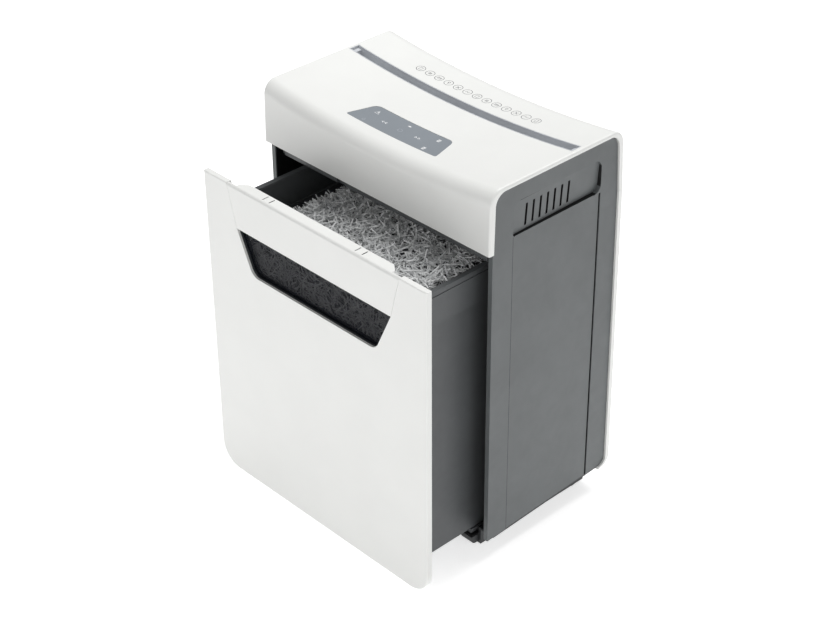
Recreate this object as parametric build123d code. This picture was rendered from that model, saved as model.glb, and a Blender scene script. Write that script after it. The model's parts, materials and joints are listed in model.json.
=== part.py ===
"""Compact paper shredder: a cross-cut cutting head above a pull-out waste bin.

Millimetres, X to the right, Y to the back, Z up. While the pieces are modelled, y = 0 is
the head's front face and z = 0 the floor. save() moves them all so that the origin is on
the floor, under the middle of the footprint with the drawer part-way out.
"""
from build123d import *
import math
import os

# --- Body ---------------------------------------------------------------------------
BODY_WIDTH = 300.0
BODY_DEPTH = 175.0        # front face to back face, at the seam under the head
BODY_HEIGHT = 406.0       # floor to the top's raised ends
HEAD_HEIGHT = 63.0        # the seam to the top's raised ends
TOP_SAG = 10.0            # how far the top dips at its middle
FRONT_DRAFT = 1.5         # lean of the head's front face
REAR_DRAFT = 3.5          # lean of the head's back face
REAR_LEAN = 3.5           # the rear cover is this much deeper at its foot
HEAD_EDGE_R = 14.0        # round along the head's front and back top edges
COVER_WALL = 3.0
RIM_SIDE = 6.0            # cover's end rims, front and back
RIM_TOP = 4.0             # cover's end rims, top and bottom
RIM_LENGTH = 8.0
RIM_EDGE_R = 2.0          # soft outer edge of the rims
SEAM_GAP = 0.3
REAR_FOOT_R = 13.0
REAR_RETURN = 12.0         # how far the rear cover turns in under the body

# --- Side panels --------------------------------------------------------------------
PANEL_INSET = 2.0         # panel's face inside the rims
PANEL_WALL = 3.0
PANEL_EDGE = 5.0          # thickness of the turned-in border
PANEL_EDGE_WIDTH = 4.0
PANEL_FRONT_Y = 6.5
PANEL_BOTTOM_Z = 22.0        # at the front
PANEL_BOTTOM_RISE = 7.0      # the lower edge climbs this much to the back face
PANEL_CORNER_R = 12.0
FIELD_FRONT_Y = 31.5      # recessed field and vent pocket share these edges
FIELD_REAR_Y = 145.5
FIELD_DEPTH = 0.8
FIELD_LINE_WIDTH = 0.6       # fine line along the field's front edge
GROOVE_WIDTH = 1.6
GROOVE_DEPTH = 1.8
POCKET_BOTTOM = 6.5       # above the seam
POCKET_HEIGHT = 34.5
POCKET_R = 9.0
POCKET_SHARP_R = 3.0
POCKET_DEPTH_LEAST = 0.6  # at the top front corner
POCKET_DEPTH_REAR = 1.8   # the floor of the pocket falls away to the back
POCKET_DEPTH_LOW = 2.4    # and to the bottom
POCKET_BACKING = 1.5      # wall behind the pocket's deepest corner
POCKET_BACKING_EDGE = 2.5
VENT_COUNT = 7
VENT_PITCH = 9.2
VENT_WIDTH = 2.6
VENT_HEIGHT = 22.6
VENT_FIRST_Y = 49.6
VENT_BOTTOM = 11.0        # above the seam
LEDGE_DEPTH = 7.0
LEDGE_THICK = 3.0

# --- Feed slot ----------------------------------------------------------------------
SLOT_FROM_REAR = 62.0     # middle of the slot to the back face
SLOT_WIDTH = 12.5
SLOT_END_MARGIN = 4.5     # slot's end to the body's side
THROAT_END_MARGIN = 39.0  # throat's end to the body's side
THROAT_GAP = 5.0
THROAT_FORWARD = 0.8      # throat's middle ahead of the slot's middle
GUIDE_DEPTH = 15.0
GUIDE_FLANGE = 3.4
GUIDE_WALL = 1.0
GUIDE_END_MARGIN = 10.0
CHUTE_WALL = 1.8
SLIP_FIT = 0.15

# --- Control panel ------------------------------------------------------------------
OVERLAY_FRONT_HALF = 59.0
OVERLAY_BACK_HALF = 50.0
OVERLAY_FRONT_Y = 24.0
OVERLAY_BACK_Y = 56.0
OVERLAY_BACK_R = 8.0
OVERLAY_FRONT_R = 2.0
OVERLAY_THICK = 0.7
OVERLAY_RECESS = 1.0
CONTROL_BOARD_DROP = 9.5  # board's top below the top's lowest line
BOARD_THICK = 1.6
BOARD_POST_R = 2.5
LIGHT_PLACES = (-30.0, -15.0, 0.0, 15.0, 30.0)
LIGHT_HALF = 3.0
LIGHT_HEIGHT = 4.0

# --- Chassis under the head ---------------------------------------------------------
CHASSIS_DROP = 16.5       # chassis underside below the seam
CHASSIS_WALL = 3.0
CHASSIS_FRONT_Y = 13.0
LIP_HEIGHT = 9.5
LIP_LEFT_MARGIN = 13.0
LIP_RIGHT_MARGIN = 15.0
LIP_NOTCH_X = -56.0
LIP_NOTCH_WIDTH = 12.0
WASTE_MARGIN = 2.0        # opening beyond the cutters
SCREW_R = 1.8
SCREW_HEAD_R = 3.4
SCREW_HEAD = 2.2
BOSS_R = 4.0
BOSS_X_MARGIN = 18.0
BOSS_FRONT_Y = 25.0
BOSS_REAR_MARGIN = 20.0

# --- Cutters ------------------------------------------------------------------------
CUTTER_R = 17.5
CORE_R = 12.0
CUTTER_SPACING = 31.0
CUTTER_AXIS_RISE = 13.0   # roller axes above the seam
DISC_THICK = 2.0
DISC_PITCH = 4.8
NOTCH_COUNT = 4
NOTCH_DEPTH = 2.2
SHAFT_R = 5.0
RUNNING_FIT = 0.05
PLATE_THICK = 3.0
PLATE_GAP = 5.0           # plate beyond the end of the throat
PLATE_REAR = 24.0         # plate behind the rear roller's axis
PLATE_TOP = 24.0          # plate above the roller axes
BUSH_R = 8.0
BUSH_FLANGE_R = 9.5
BUSH_FLANGE = 1.2
TIE_ROD_R = 3.0
TIE_ROD_OUT = 17.0        # tie rods beyond the roller axes, in Y
TIE_ROD_UP = 20.5         # and above and below them
COMB_FINGER = 1.6
COMB_BAR = 4.0
COMB_GAP = 1.0            # comb bar to the discs
COMB_CORE_GAP = 0.8
COMB_HEIGHT = 20.0

# --- Gears --------------------------------------------------------------------------
SYNC_TEETH = 20
DRIVE_TEETH = 34
SMALL_TEETH = 10
DRIVE_MODULE = 1.25
TRAIN_SLACK = 1.076       # the two centre distances added up, to the straight way
PINION_TEETH = 10
PINION_MODULE = 1.0
ADDENDUM = 0.8            # in modules
DEDENDUM = 1.1            # in modules
ROOT_SHARE = 0.3          # half a tooth's width at its root and its tip, in tooth pitches
TIP_SHARE = 0.12
GEAR_GAP = 1.5
SYNC_WIDTH = 8.0
LARGE_WIDTH = 6.0
DRIVE_WIDTH = 7.0
AXLE_R = 3.0
GEARBOX_WALL = 1.8
GEARBOX_CLEAR = 2.0

# --- Motor --------------------------------------------------------------------------
MOTOR_GAP = 3.2           # motor to the front comb
MOTOR_LIFT = 3.5          # motor above the chassis
MOTOR_R = 24.0
MOTOR_LENGTH = 60.0
MOTOR_WALL = 2.0
MOTOR_END = 5.0
MOTOR_SHAFT_R = 2.5
ARMATURE_GAP = 2.0
ARMATURE_END_GAP = 6.0
FAN_R = 19.0
FAN_WIDTH = 7.0
FAN_BLADES = 8

# --- Electrical ---------------------------------------------------------------------
POWER_BOARD_X = 45.0
POWER_BOARD_LENGTH = 105.0
POWER_BOARD_WIDTH = 42.0
POWER_BOARD_Y = 46.0
STANDOFF = 5.0
STANDOFF_R = 3.0
STANDOFF_INSET = 5.0
TRANSFORMER = (32.0, 28.0, 26.0)
RELAY = (14.0, 10.0, 16.0)
CHIP = (14.0, 20.0, 8.0)
CAPACITOR_R = 7.0
CAPACITOR_HEIGHT = 24.0
SENSOR_SIZE = 12.0
SWITCH_X = 96.0           # mains rocker, on the back of the head
SWITCH_RISE = 24.0        # above the seam
SWITCH_HALF_HEIGHT = 10.0
SWITCH_HALF_WIDTH = 7.0
SWITCH_DEPTH = 14.0
SWITCH_WALL = 1.4
BEZEL = 1.5
ROCKER_TILT = 10.0
ROCKER_GAP = 0.4
GLAND_X = 122.0
GLAND_RISE = 16.0
GLAND_R = 6.0
GLAND_BORE_R = 3.4
INTERLOCK_X = -56.0
INTERLOCK_DROP = 41.0     # below the seam
INTERLOCK_WIDTH = 14.0
INTERLOCK_HEIGHT = 12.0
INTERLOCK_DEPTH = 6.5
PLUNGER_R = 2.0
PLUNGER_OUT = 3.0
PLUNGER_TRAVEL = 2.0

# --- Base ---------------------------------------------------------------------------
BASE_HALF_MARGIN = 20.0   # base's side to the body's side
BASE_FRONT_Y = 16.0
BASE_WALL = 3.0
BASE_PLATE_Z = 3.0
FLANGE_THICK = 2.0
RUNNER_OUT = 23.0         # runner's outer face to the body's side
RUNNER_WIDTH = 14.5
RUNNER_TOP_Z = 14.0
RUNNER_NOSE_R = 6.0       # runner's front end, rounded underneath
GLIDE_THICK = 1.0
FOOT_R = 8.0
FOOT_STEM_R = 2.5
FOOT_X_MARGIN = 30.0
FOOT_FRONT_Y = 28.0
FOOT_REAR_GAP = 12.0

# --- Drawer -------------------------------------------------------------------------
DRAWER_OUT = 75.0         # how far the drawer stands open as it is modelled
FRONT_THICK = 6.0
FRONT_WALL = 2.5
FRONT_BOTTOM_Z = 2.0
FRONT_TOP_GAP = 3.0       # under the head's seam
FRONT_CORNER_R = 24.0
FRONT_EDGE_R = 1.2
WINDOW_TOP_HALF = 105.0
WINDOW_LOW_HALF = 84.5
WINDOW_TOP_DROP = 44.3    # below the drawer front's top
WINDOW_HEIGHT = 44.3
WINDOW_R = 12.0
FLAP_TOP_HALF = 116.4
FLAP_SEAM = 0.25
FLAP_CLEAR = 1.0          # window frame clear of the flap's sides
FLAP_DEPTH = 12.5
FLAP_SHELF_HALF = 97.0
FLAP_WALL = 3.0
FLAP_SHELF = 4.0          # thickness of the flap's turned-in top
FLAP_SHELF_TAPER = 8.0
SLIT_PLACES = (-68.5, -59.5, 56.5, 65.5)
SLIT_WIDTH = 1.1
SLIT_LENGTH = 7.5
SLIT_FRONT = 3.4          # front end behind the drawer's face
SLIT_DEPTH = 1.6
FRAME_DEPTH = 6.5         # back of the window pane behind the drawer's face
FRAME_WALL = 2.0
FRAME_FLANGE = 7.0        # how far the flange reaches round the window
FRAME_FLANGE_THICK = 1.8
FRAME_RISE = 6.0          # how far the frame reaches up behind the flap
PANE_THICK = 1.8
BIN_SIDE_MARGIN = 25.0    # collar's side to the body's side
COLLAR_STEP = 3.0
BIN_WALL = 2.5
BIN_TOP_DROP = 24.5       # rim below the drawer front's top
COLLAR_HEIGHT = 35.5
COLLAR_LINE_WIDTH = 2.5   # groove under the collar
COLLAR_LINE_DEPTH = 1.2
RIM_LINE_DROP = 5.0       # fine groove along the collar, below the rim
RIM_LINE_WIDTH = 0.8
RIM_FLANGE = 6.5
RIM_FLANGE_THICK = 2.5
BIN_BOTTOM_Z = 19.0
BIN_REAR_GAP = 10.5       # closed bin to the body's back wall
BIN_CORNER_R = 5.0
SKID_GAP = 0.3
SKID_WIDTH = 8.0
SKID_LENGTH = 60.0
SKID_FRONT_Y = 10.0
HEAP_THICK = 5.0
HEAP_GAP = 1.5
HEAP_DROP = 5.0           # heap's highest line below the rim
HEAP_LEFT_MARGIN = 28.0   # heap's left end to the bin's left wall
HEAP_SLOPE = 34.0
HEAP_SLOPE_RUN = 18.0
HEAP_DROPS = (12.0, 5.0, 2.0)  # heap's line below its highest, from the left end to the middle
HEAP_SHOULDER = 40.0      # between the heap's ends and the places where its line bends
CURTAIN_DROP = 3.0        # heap's front face stays this much below its top

# --- Worked out from the above ------------------------------------------------------
HALF_WIDTH = BODY_WIDTH / 2
SEAM_Z = BODY_HEIGHT - HEAD_HEIGHT
SAG_R = (HALF_WIDTH**2 + TOP_SAG**2) / (2 * TOP_SAG)
SAG_AXIS_Z = BODY_HEIGHT - TOP_SAG + SAG_R
LOW_TOP_Z = BODY_HEIGHT - TOP_SAG
PANEL_X = HALF_WIDTH - PANEL_INSET
PANEL_INNER_X = PANEL_X - PANEL_EDGE
PANEL_TOP_Z = SAG_AXIS_Z - math.sqrt(SAG_R**2 - PANEL_INNER_X**2) - RIM_TOP - SEAM_GAP
SLOT_Y = BODY_DEPTH - SLOT_FROM_REAR
SLOT_HALF = HALF_WIDTH - SLOT_END_MARGIN
THROAT_Y = SLOT_Y - THROAT_FORWARD
THROAT_HALF = HALF_WIDTH - THROAT_END_MARGIN
AXIS_Z = SEAM_Z + CUTTER_AXIS_RISE
FRONT_AXIS_Y = THROAT_Y - CUTTER_SPACING / 2
REAR_AXIS_Y = THROAT_Y + CUTTER_SPACING / 2
CHASSIS_Z = SEAM_Z - CHASSIS_DROP
CHASSIS_TOP_Z = CHASSIS_Z + CHASSIS_WALL
PLATE_X = THROAT_HALF + PLATE_GAP
PLATE_OUT_X = PLATE_X + PLATE_THICK
MOTOR_Y = FRONT_AXIS_Y - CUTTER_R - COMB_GAP - COMB_BAR - MOTOR_R - MOTOR_GAP
MOTOR_Z = CHASSIS_TOP_Z + MOTOR_LIFT + MOTOR_R
TRAIN_REACH = TRAIN_SLACK * math.hypot(FRONT_AXIS_Y - MOTOR_Y, AXIS_Z - MOTOR_Z)
DRIVE_REACH = (SMALL_TEETH + DRIVE_TEETH) * DRIVE_MODULE / 2
LARGE_TEETH = 2 * round((TRAIN_REACH - DRIVE_REACH) / PINION_MODULE) - PINION_TEETH
LARGE_X = -(PLATE_OUT_X + 2 * GEAR_GAP)
DRIVE_X = LARGE_X - LARGE_WIDTH - GEAR_GAP
GEARBOX_X = DRIVE_X - DRIVE_WIDTH - GEAR_GAP
FRONT_FACE_Y = -DRAWER_OUT
FRONT_TOP_Z = SEAM_Z - FRONT_TOP_GAP
FRONT_BACK_Y = FRONT_FACE_Y + FRONT_THICK
WINDOW_TOP_Z = FRONT_TOP_Z - WINDOW_TOP_DROP
WINDOW_LOW_Z = WINDOW_TOP_Z - WINDOW_HEIGHT
BIN_X = HALF_WIDTH - BIN_SIDE_MARGIN
BIN_TOP_Z = FRONT_TOP_Z - BIN_TOP_DROP
BIN_FRONT_Y = FRONT_BACK_Y + SEAM_GAP
BIN_REAR_Y = BODY_DEPTH - COVER_WALL - BIN_REAR_GAP - DRAWER_OUT
ORIGIN_Y = (FRONT_FACE_Y + BODY_DEPTH + REAR_LEAN) / 2


# --- Small builders -----------------------------------------------------------------
def box(x0, x1, y0, y1, z0, z1):
    """Box between two corners."""
    middle = Pos((x0 + x1) / 2, (y0 + y1) / 2, (z0 + z1) / 2)
    return middle * Box(abs(x1 - x0), abs(y1 - y0), abs(z1 - z0))


def rod_x(radius, x0, x1, y, z):
    """Round bar along X."""
    return Pos((x0 + x1) / 2, y, z) * Rot(0, 90, 0) * Cylinder(radius, abs(x1 - x0))


def rod_y(radius, x, y0, y1, z):
    """Round bar along Y."""
    return Pos(x, (y0 + y1) / 2, z) * Rot(90, 0, 0) * Cylinder(radius, abs(y1 - y0))


def rod_z(radius, x, y, z0, z1):
    """Round bar along Z."""
    return Pos(x, y, (z0 + z1) / 2) * Cylinder(radius, abs(z1 - z0))


def side_prism(points, x0, x1, rounds=()):
    """Prism along X of a (y, z) outline; rounds gives (corner number, radius) pairs."""
    return extrude(Plane.YZ.offset(x0) * rounded_outline(points, rounds), x1 - x0, dir=(1, 0, 0))


def front_prism(points, y0, y1, rounds=()):
    """Prism along Y of an (x, z) outline."""
    plane = Plane(origin=(0, y0, 0), x_dir=(1, 0, 0), z_dir=(0, -1, 0))
    return extrude(plane * rounded_outline(points, rounds), y1 - y0, dir=(0, 1, 0))


def upright_prism(points, z0, z1, rounds=()):
    """Prism along Z of an (x, y) outline."""
    return extrude(Plane.XY.offset(z0) * rounded_outline(points, rounds), z1 - z0, dir=(0, 0, 1))


def rounded_outline(points, rounds=()):
    """Closed polygon with the numbered corners rounded."""
    outline = Polygon(*points, align=None)
    for number, radius in rounds:
        corner = outline.vertices().sort_by_distance((*points[number], 0))[0]
        outline = fillet(corner, radius)
    return outline


def save(name, *solids):
    """Write one node; several solids stay separate in it."""
    moved = [Pos(0, -ORIGIN_Y, 0) * solid for solid in solids]
    shape = moved[0] if len(moved) == 1 else Compound(moved)
    export_step(shape, f"parts/{name}.step")


# --- Head shell ---------------------------------------------------------------------
def head_block(side, drop, radius, half_width, bottom):
    """The head's volume with its walls moved in by side and its top lowered by drop."""
    rise = BODY_HEIGHT - SEAM_Z
    lean_low = (bottom - SEAM_Z) / rise
    front_low = FRONT_DRAFT * lean_low + side
    rear_low = BODY_DEPTH - REAR_DRAFT * lean_low - side
    outline = [
        (front_low, bottom),
        (FRONT_DRAFT + side, BODY_HEIGHT),
        (BODY_DEPTH - REAR_DRAFT - side, BODY_HEIGHT),
        (rear_low, bottom),
    ]
    block = side_prism(outline, -half_width, half_width)
    block -= rod_y(SAG_R + drop, 0, -BODY_DEPTH, 2 * BODY_DEPTH, SAG_AXIS_Z)
    long_edges = [
        edge
        for edge in block.edges()
        if edge.bounding_box().size.X > half_width and edge.center().Z > SEAM_Z + HEAD_HEIGHT / 2
    ]
    return fillet(long_edges, radius)


def along_top(points, half_length):
    """Sweep a (y, depth) outline along the dipping top, both ways from the middle."""
    face = Plane.YZ * Polygon(*[(y, LOW_TOP_Z - depth) for y, depth in points], align=None)
    angle = math.degrees(math.asin(half_length / SAG_R))
    axis = Axis((0, 0, SAG_AXIS_Z), (0, 1, 0))
    return revolve(face.rotate(axis, -angle), axis, 2 * angle)


def top_z(x):
    """Height of the outer top at x."""
    return SAG_AXIS_Z - math.sqrt(SAG_R**2 - x**2)


def overlay_prism(gap):
    """Upright prism of the control panel's outline, grown by gap."""
    outline = [
        (-OVERLAY_FRONT_HALF - gap, OVERLAY_FRONT_Y - gap),
        (OVERLAY_FRONT_HALF + gap, OVERLAY_FRONT_Y - gap),
        (OVERLAY_BACK_HALF + gap, OVERLAY_BACK_Y + gap),
        (-OVERLAY_BACK_HALF - gap, OVERLAY_BACK_Y + gap),
    ]
    rounds = [(0, OVERLAY_FRONT_R), (1, OVERLAY_FRONT_R), (2, OVERLAY_BACK_R), (3, OVERLAY_BACK_R)]
    return upright_prism(outline, LOW_TOP_Z - 20, LOW_TOP_Z + 20, rounds)


def boss_places():
    """Where the head cover is screwed down."""
    rear_y = BODY_DEPTH - BOSS_REAR_MARGIN
    x = HALF_WIDTH - BOSS_X_MARGIN
    return [(sign * x, y) for sign in (-1, 1) for y in (BOSS_FRONT_Y, rear_y)]


def board_post_places():
    """Where the control board hangs from the head cover."""
    x = OVERLAY_BACK_HALF - 4
    return [(sign * x, y) for sign in (-1, 1) for y in (OVERLAY_FRONT_Y + 5, OVERLAY_BACK_Y - 5)]


def slot_band(grow, depth, half_length):
    """The feed slot's band in the top, down to depth."""
    front = SLOT_Y - SLOT_WIDTH / 2 - grow
    back = SLOT_Y + SLOT_WIDTH / 2 + grow
    return along_top([(front, -20), (back, -20), (back, depth), (front, depth)], half_length)


def head_cover():
    """White shell over the head, open at its ends and underneath."""
    inside_x = HALF_WIDTH - RIM_LENGTH
    cover = head_block(0, 0, HEAD_EDGE_R, HALF_WIDTH, SEAM_Z)
    end_edges = [
        edge
        for edge in cover.edges()
        if abs(abs(edge.center().X) - HALF_WIDTH) < 0.01 and edge.center().Z > SEAM_Z + 1
    ]
    cover = fillet(end_edges, RIM_EDGE_R)
    rim_r = PANEL_CORNER_R + SEAM_GAP
    cover -= head_block(RIM_SIDE, RIM_TOP, rim_r, BODY_WIDTH, SEAM_Z - 1)
    cover -= head_block(COVER_WALL, COVER_WALL, HEAD_EDGE_R - COVER_WALL, inside_x, SEAM_Z - 1)
    for x, y in boss_places():
        cover += rod_z(BOSS_R, x, y, CHASSIS_TOP_Z, top_z(x) - COVER_WALL / 2)
        cover -= rod_z(SCREW_R, x, y, CHASSIS_TOP_Z - 1, CHASSIS_TOP_Z + 12)
    board_z = LOW_TOP_Z - CONTROL_BOARD_DROP
    for x, y in board_post_places():
        cover += rod_z(BOARD_POST_R, x, y, board_z, top_z(x) - COVER_WALL / 2)
    cover -= slot_band(SLIP_FIT, GUIDE_FLANGE + SLIP_FIT, SLOT_HALF + SLIP_FIT)
    cover -= slot_band(SLIP_FIT, GUIDE_DEPTH, SLOT_HALF - GUIDE_END_MARGIN / 2 + SLIP_FIT)
    recess = along_top(
        [(0, -20), (BODY_DEPTH, -20), (BODY_DEPTH, OVERLAY_RECESS), (0, OVERLAY_RECESS)],
        HALF_WIDTH - RIM_LENGTH,
    )
    cover -= recess & overlay_prism(SLIP_FIT)
    cover -= switch_window()
    cover -= rod_y(GLAND_R, GLAND_X, BODY_DEPTH - 20, BODY_DEPTH + 5, SEAM_Z + GLAND_RISE)
    return cover


def control_panel_overlay():
    """Grey touch panel let into the top."""
    band = along_top(
        [
            (0, OVERLAY_RECESS - OVERLAY_THICK),
            (BODY_DEPTH, OVERLAY_RECESS - OVERLAY_THICK),
            (BODY_DEPTH, OVERLAY_RECESS),
            (0, OVERLAY_RECESS),
        ],
        HALF_WIDTH - RIM_LENGTH,
    )
    return band & overlay_prism(0)


def feed_slot_guide():
    """Grey funnel and chute that lead the paper to the cutters."""
    front = SLOT_Y - SLOT_WIDTH / 2
    back = SLOT_Y + SLOT_WIDTH / 2
    trough_half = SLOT_HALF - GUIDE_END_MARGIN / 2
    chute_half = THROAT_HALF + CHUTE_WALL
    chute_out = THROAT_GAP / 2 + CHUTE_WALL
    guide = along_top([(front, 0), (back, 0), (back, GUIDE_FLANGE), (front, GUIDE_FLANGE)], SLOT_HALF)
    guide += along_top([(front, 0), (back, 0), (back, GUIDE_DEPTH), (front, GUIDE_DEPTH)], trough_half)
    chute_top = LOW_TOP_Z - GUIDE_DEPTH / 2
    guide += box(
        -chute_half, chute_half, THROAT_Y - chute_out, THROAT_Y + chute_out, chute_bottom(), chute_top
    )
    lip_front = front + GUIDE_WALL
    lip_back = back - GUIDE_WALL
    shallow = GUIDE_FLANGE - GUIDE_WALL
    guide -= along_top(
        [(lip_front, -5), (lip_back, -5), (lip_back, shallow), (lip_front, shallow)],
        SLOT_HALF - GUIDE_WALL,
    )
    neck = THROAT_GAP / 2
    floor = GUIDE_DEPTH - GUIDE_WALL
    guide -= along_top(
        [
            (lip_front, -5),
            (lip_back, -5),
            (lip_back, shallow),
            (THROAT_Y + neck, floor),
            (THROAT_Y - neck, floor),
            (lip_front, shallow),
        ],
        trough_half - GUIDE_WALL,
    )
    return guide - box(
        -THROAT_HALF, THROAT_HALF, THROAT_Y - neck, THROAT_Y + neck, chute_bottom() - 1, BODY_HEIGHT
    )


def chute_bottom():
    """Lower edge of the chute, just above the cutter discs."""
    return AXIS_Z + CUTTER_R + 1.5


# --- Side panels and rear cover -----------------------------------------------------
def bottom_z(y):
    """Height of the side panels' lower edge at y."""
    return PANEL_BOTTOM_Z + PANEL_BOTTOM_RISE * (y - PANEL_FRONT_Y) / (BODY_DEPTH - PANEL_FRONT_Y)


def panel_points():
    """Side view of a side panel."""
    inset = RIM_SIDE + SEAM_GAP
    rear_y = BODY_DEPTH + REAR_LEAN - inset
    return [
        (PANEL_FRONT_Y, PANEL_BOTTOM_Z),
        (PANEL_FRONT_Y, SEAM_Z),
        (PANEL_FRONT_Y + FRONT_DRAFT, PANEL_TOP_Z),
        (BODY_DEPTH - REAR_DRAFT - inset, PANEL_TOP_Z),
        (BODY_DEPTH - inset, SEAM_Z),
        (rear_y, bottom_z(rear_y)),
    ]


def pocket_outline(grow):
    """Vent pocket seen from the side."""
    low = SEAM_Z + POCKET_BOTTOM
    high = low + POCKET_HEIGHT
    points = [
        (FIELD_FRONT_Y - grow, low - grow),
        (FIELD_REAR_Y + grow, low - grow),
        (FIELD_REAR_Y + grow, high + grow),
        (FIELD_FRONT_Y - grow, high + grow),
    ]
    radius = POCKET_R + grow
    return points, [(0, POCKET_SHARP_R), (1, radius), (2, radius), (3, radius)]


def right_side_panel():
    """Grey side panel with its slanting vent pocket and recessed field."""
    points = panel_points()
    rounds = [(2, PANEL_CORNER_R), (3, PANEL_CORNER_R), (5, PANEL_CORNER_R - 2)]
    panel = side_prism(points, PANEL_INNER_X, PANEL_X, rounds)
    middle_y = BODY_DEPTH / 2
    middle_z = (PANEL_BOTTOM_Z + PANEL_TOP_Z) / 2
    inner = [
        (
            y + math.copysign(PANEL_EDGE_WIDTH, middle_y - y),
            z + math.copysign(PANEL_EDGE_WIDTH, middle_z - z),
        )
        for y, z in (points[0], points[2], points[3], points[5])
    ]
    panel -= side_prism(inner, PANEL_INNER_X - 1, PANEL_X - PANEL_WALL, [(1, 8), (2, 8)])
    backing, backing_rounds = pocket_outline(POCKET_BACKING_EDGE)
    deepest = POCKET_DEPTH_LEAST + POCKET_DEPTH_REAR + POCKET_DEPTH_LOW
    backing_x = PANEL_X - deepest - POCKET_BACKING
    panel += side_prism(backing, backing_x, PANEL_X - PANEL_WALL, backing_rounds)
    field_top = SEAM_Z + POCKET_BOTTOM
    panel -= box(PANEL_X - FIELD_DEPTH, PANEL_X + 1, FIELD_FRONT_Y, FIELD_REAR_Y, 0, field_top)
    line_x = PANEL_X - GROOVE_DEPTH
    panel -= box(line_x, PANEL_X + 1, FIELD_REAR_Y - GROOVE_WIDTH, FIELD_REAR_Y, 0, field_top)
    panel -= box(line_x, PANEL_X + 1, FIELD_FRONT_Y, FIELD_FRONT_Y + FIELD_LINE_WIDTH, 0, field_top)
    pocket, pocket_rounds = pocket_outline(0)
    length = FIELD_REAR_Y - FIELD_FRONT_Y
    slant = Plane(
        origin=(PANEL_X - POCKET_DEPTH_LEAST, FIELD_FRONT_Y, field_top + POCKET_HEIGHT),
        z_dir=(1, POCKET_DEPTH_REAR / length, -POCKET_DEPTH_LOW / POCKET_HEIGHT),
    )
    hollow = side_prism(pocket, PANEL_X - 10, PANEL_X + 1, pocket_rounds)
    panel -= hollow & extrude(slant * Rectangle(BODY_HEIGHT, BODY_HEIGHT), 20)
    for number in range(VENT_COUNT):
        y = VENT_FIRST_Y + number * VENT_PITCH
        low = SEAM_Z + VENT_BOTTOM
        half = VENT_WIDTH / 2
        panel -= box(PANEL_X - 12, PANEL_X + 1, y - half, y + half, low, low + VENT_HEIGHT)
    panel += box(
        PANEL_INNER_X - LEDGE_DEPTH + 2,
        PANEL_X - PANEL_WALL,
        20,
        BODY_DEPTH - 20,
        CHASSIS_Z - LEDGE_THICK,
        CHASSIS_Z,
    )
    return panel


def rear_volume(side, low, radius, half_width):
    """Volume behind and under the body for the rear cover."""
    front = BODY_DEPTH - REAR_RETURN
    rear = BODY_DEPTH + REAR_LEAN - side
    points = [
        (front, bottom_z(front) - RIM_TOP + low),
        (rear, bottom_z(rear) - RIM_TOP + low),
        (BODY_DEPTH - side, SEAM_Z - SEAM_GAP),
        (front, SEAM_Z - SEAM_GAP),
    ]
    return side_prism(points, -half_width, half_width, [(1, radius)])


def rear_cover():
    """White back, turned in under the body at its foot."""
    cover = rear_volume(0, 0, REAR_FOOT_R, HALF_WIDTH)
    end_edges = [
        edge
        for edge in cover.edges()
        if abs(abs(edge.center().X) - HALF_WIDTH) < 0.01
        and edge.center().Y > BODY_DEPTH - REAR_RETURN / 2
        and edge.center().Z < SEAM_Z - 1
    ]
    cover = fillet(end_edges, RIM_EDGE_R)
    cover -= rear_volume(RIM_SIDE, RIM_TOP - SEAM_GAP, REAR_FOOT_R - RIM_TOP, BODY_WIDTH)
    inside_x = HALF_WIDTH - RIM_LENGTH
    cover -= rear_volume(COVER_WALL, COVER_WALL, REAR_FOOT_R - COVER_WALL, inside_x)
    return cover


# --- Base ---------------------------------------------------------------------------
def base_frame():
    """Tray that ties the sides together at the bottom and carries the bin's runners."""
    half = HALF_WIDTH - BASE_HALF_MARGIN
    rear = base_rear_y()
    edge = [(rear, bottom_z(rear)), (BASE_FRONT_Y, bottom_z(BASE_FRONT_Y))]
    wall = [(BASE_FRONT_Y, BASE_PLATE_Z), (rear, BASE_PLATE_Z), *edge]
    flange = [(y, z - FLANGE_THICK) for y, z in reversed(edge)] + edge
    runner = [
        (PANEL_FRONT_Y, BASE_PLATE_Z + 2),
        (rear, BASE_PLATE_Z + 2),
        (rear, RUNNER_TOP_Z),
        (PANEL_FRONT_Y, RUNNER_TOP_Z),
    ]
    frame = box(-half, half, BASE_FRONT_Y, rear, BASE_PLATE_Z, BASE_PLATE_Z + BASE_WALL)
    for sign in (-1, 1):
        frame += side_prism(wall, *sorted((sign * (half - BASE_WALL), sign * half)))
        frame += side_prism(flange, *sorted((sign * (half - BASE_WALL), sign * (PANEL_X - 1))))
        x_out = sign * (HALF_WIDTH - RUNNER_OUT)
        x_in = x_out - sign * RUNNER_WIDTH
        frame += side_prism(runner, *sorted((x_in, x_out)), [(0, RUNNER_NOSE_R)])
    for x, y in foot_places():
        frame -= rod_z(FOOT_STEM_R, x, y, 0, BASE_PLATE_Z + BASE_WALL)
    return frame


def base_rear_y():
    """Back end of the base, just ahead of the rear cover's turned-in foot."""
    return BODY_DEPTH - REAR_RETURN - SEAM_GAP


def foot_places():
    """Middles of the four rubber feet."""
    x = HALF_WIDTH - FOOT_X_MARGIN
    return [(sign * x, y) for sign in (-1, 1) for y in (FOOT_FRONT_Y, base_rear_y() - FOOT_REAR_GAP)]


def rubber_feet():
    """Round pads with stems pressed into the base."""
    return [
        rod_z(FOOT_R, x, y, 0, BASE_PLATE_Z) + rod_z(FOOT_STEM_R, x, y, 0, BASE_PLATE_Z + BASE_WALL - 0.5)
        for x, y in foot_places()
    ]


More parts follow.
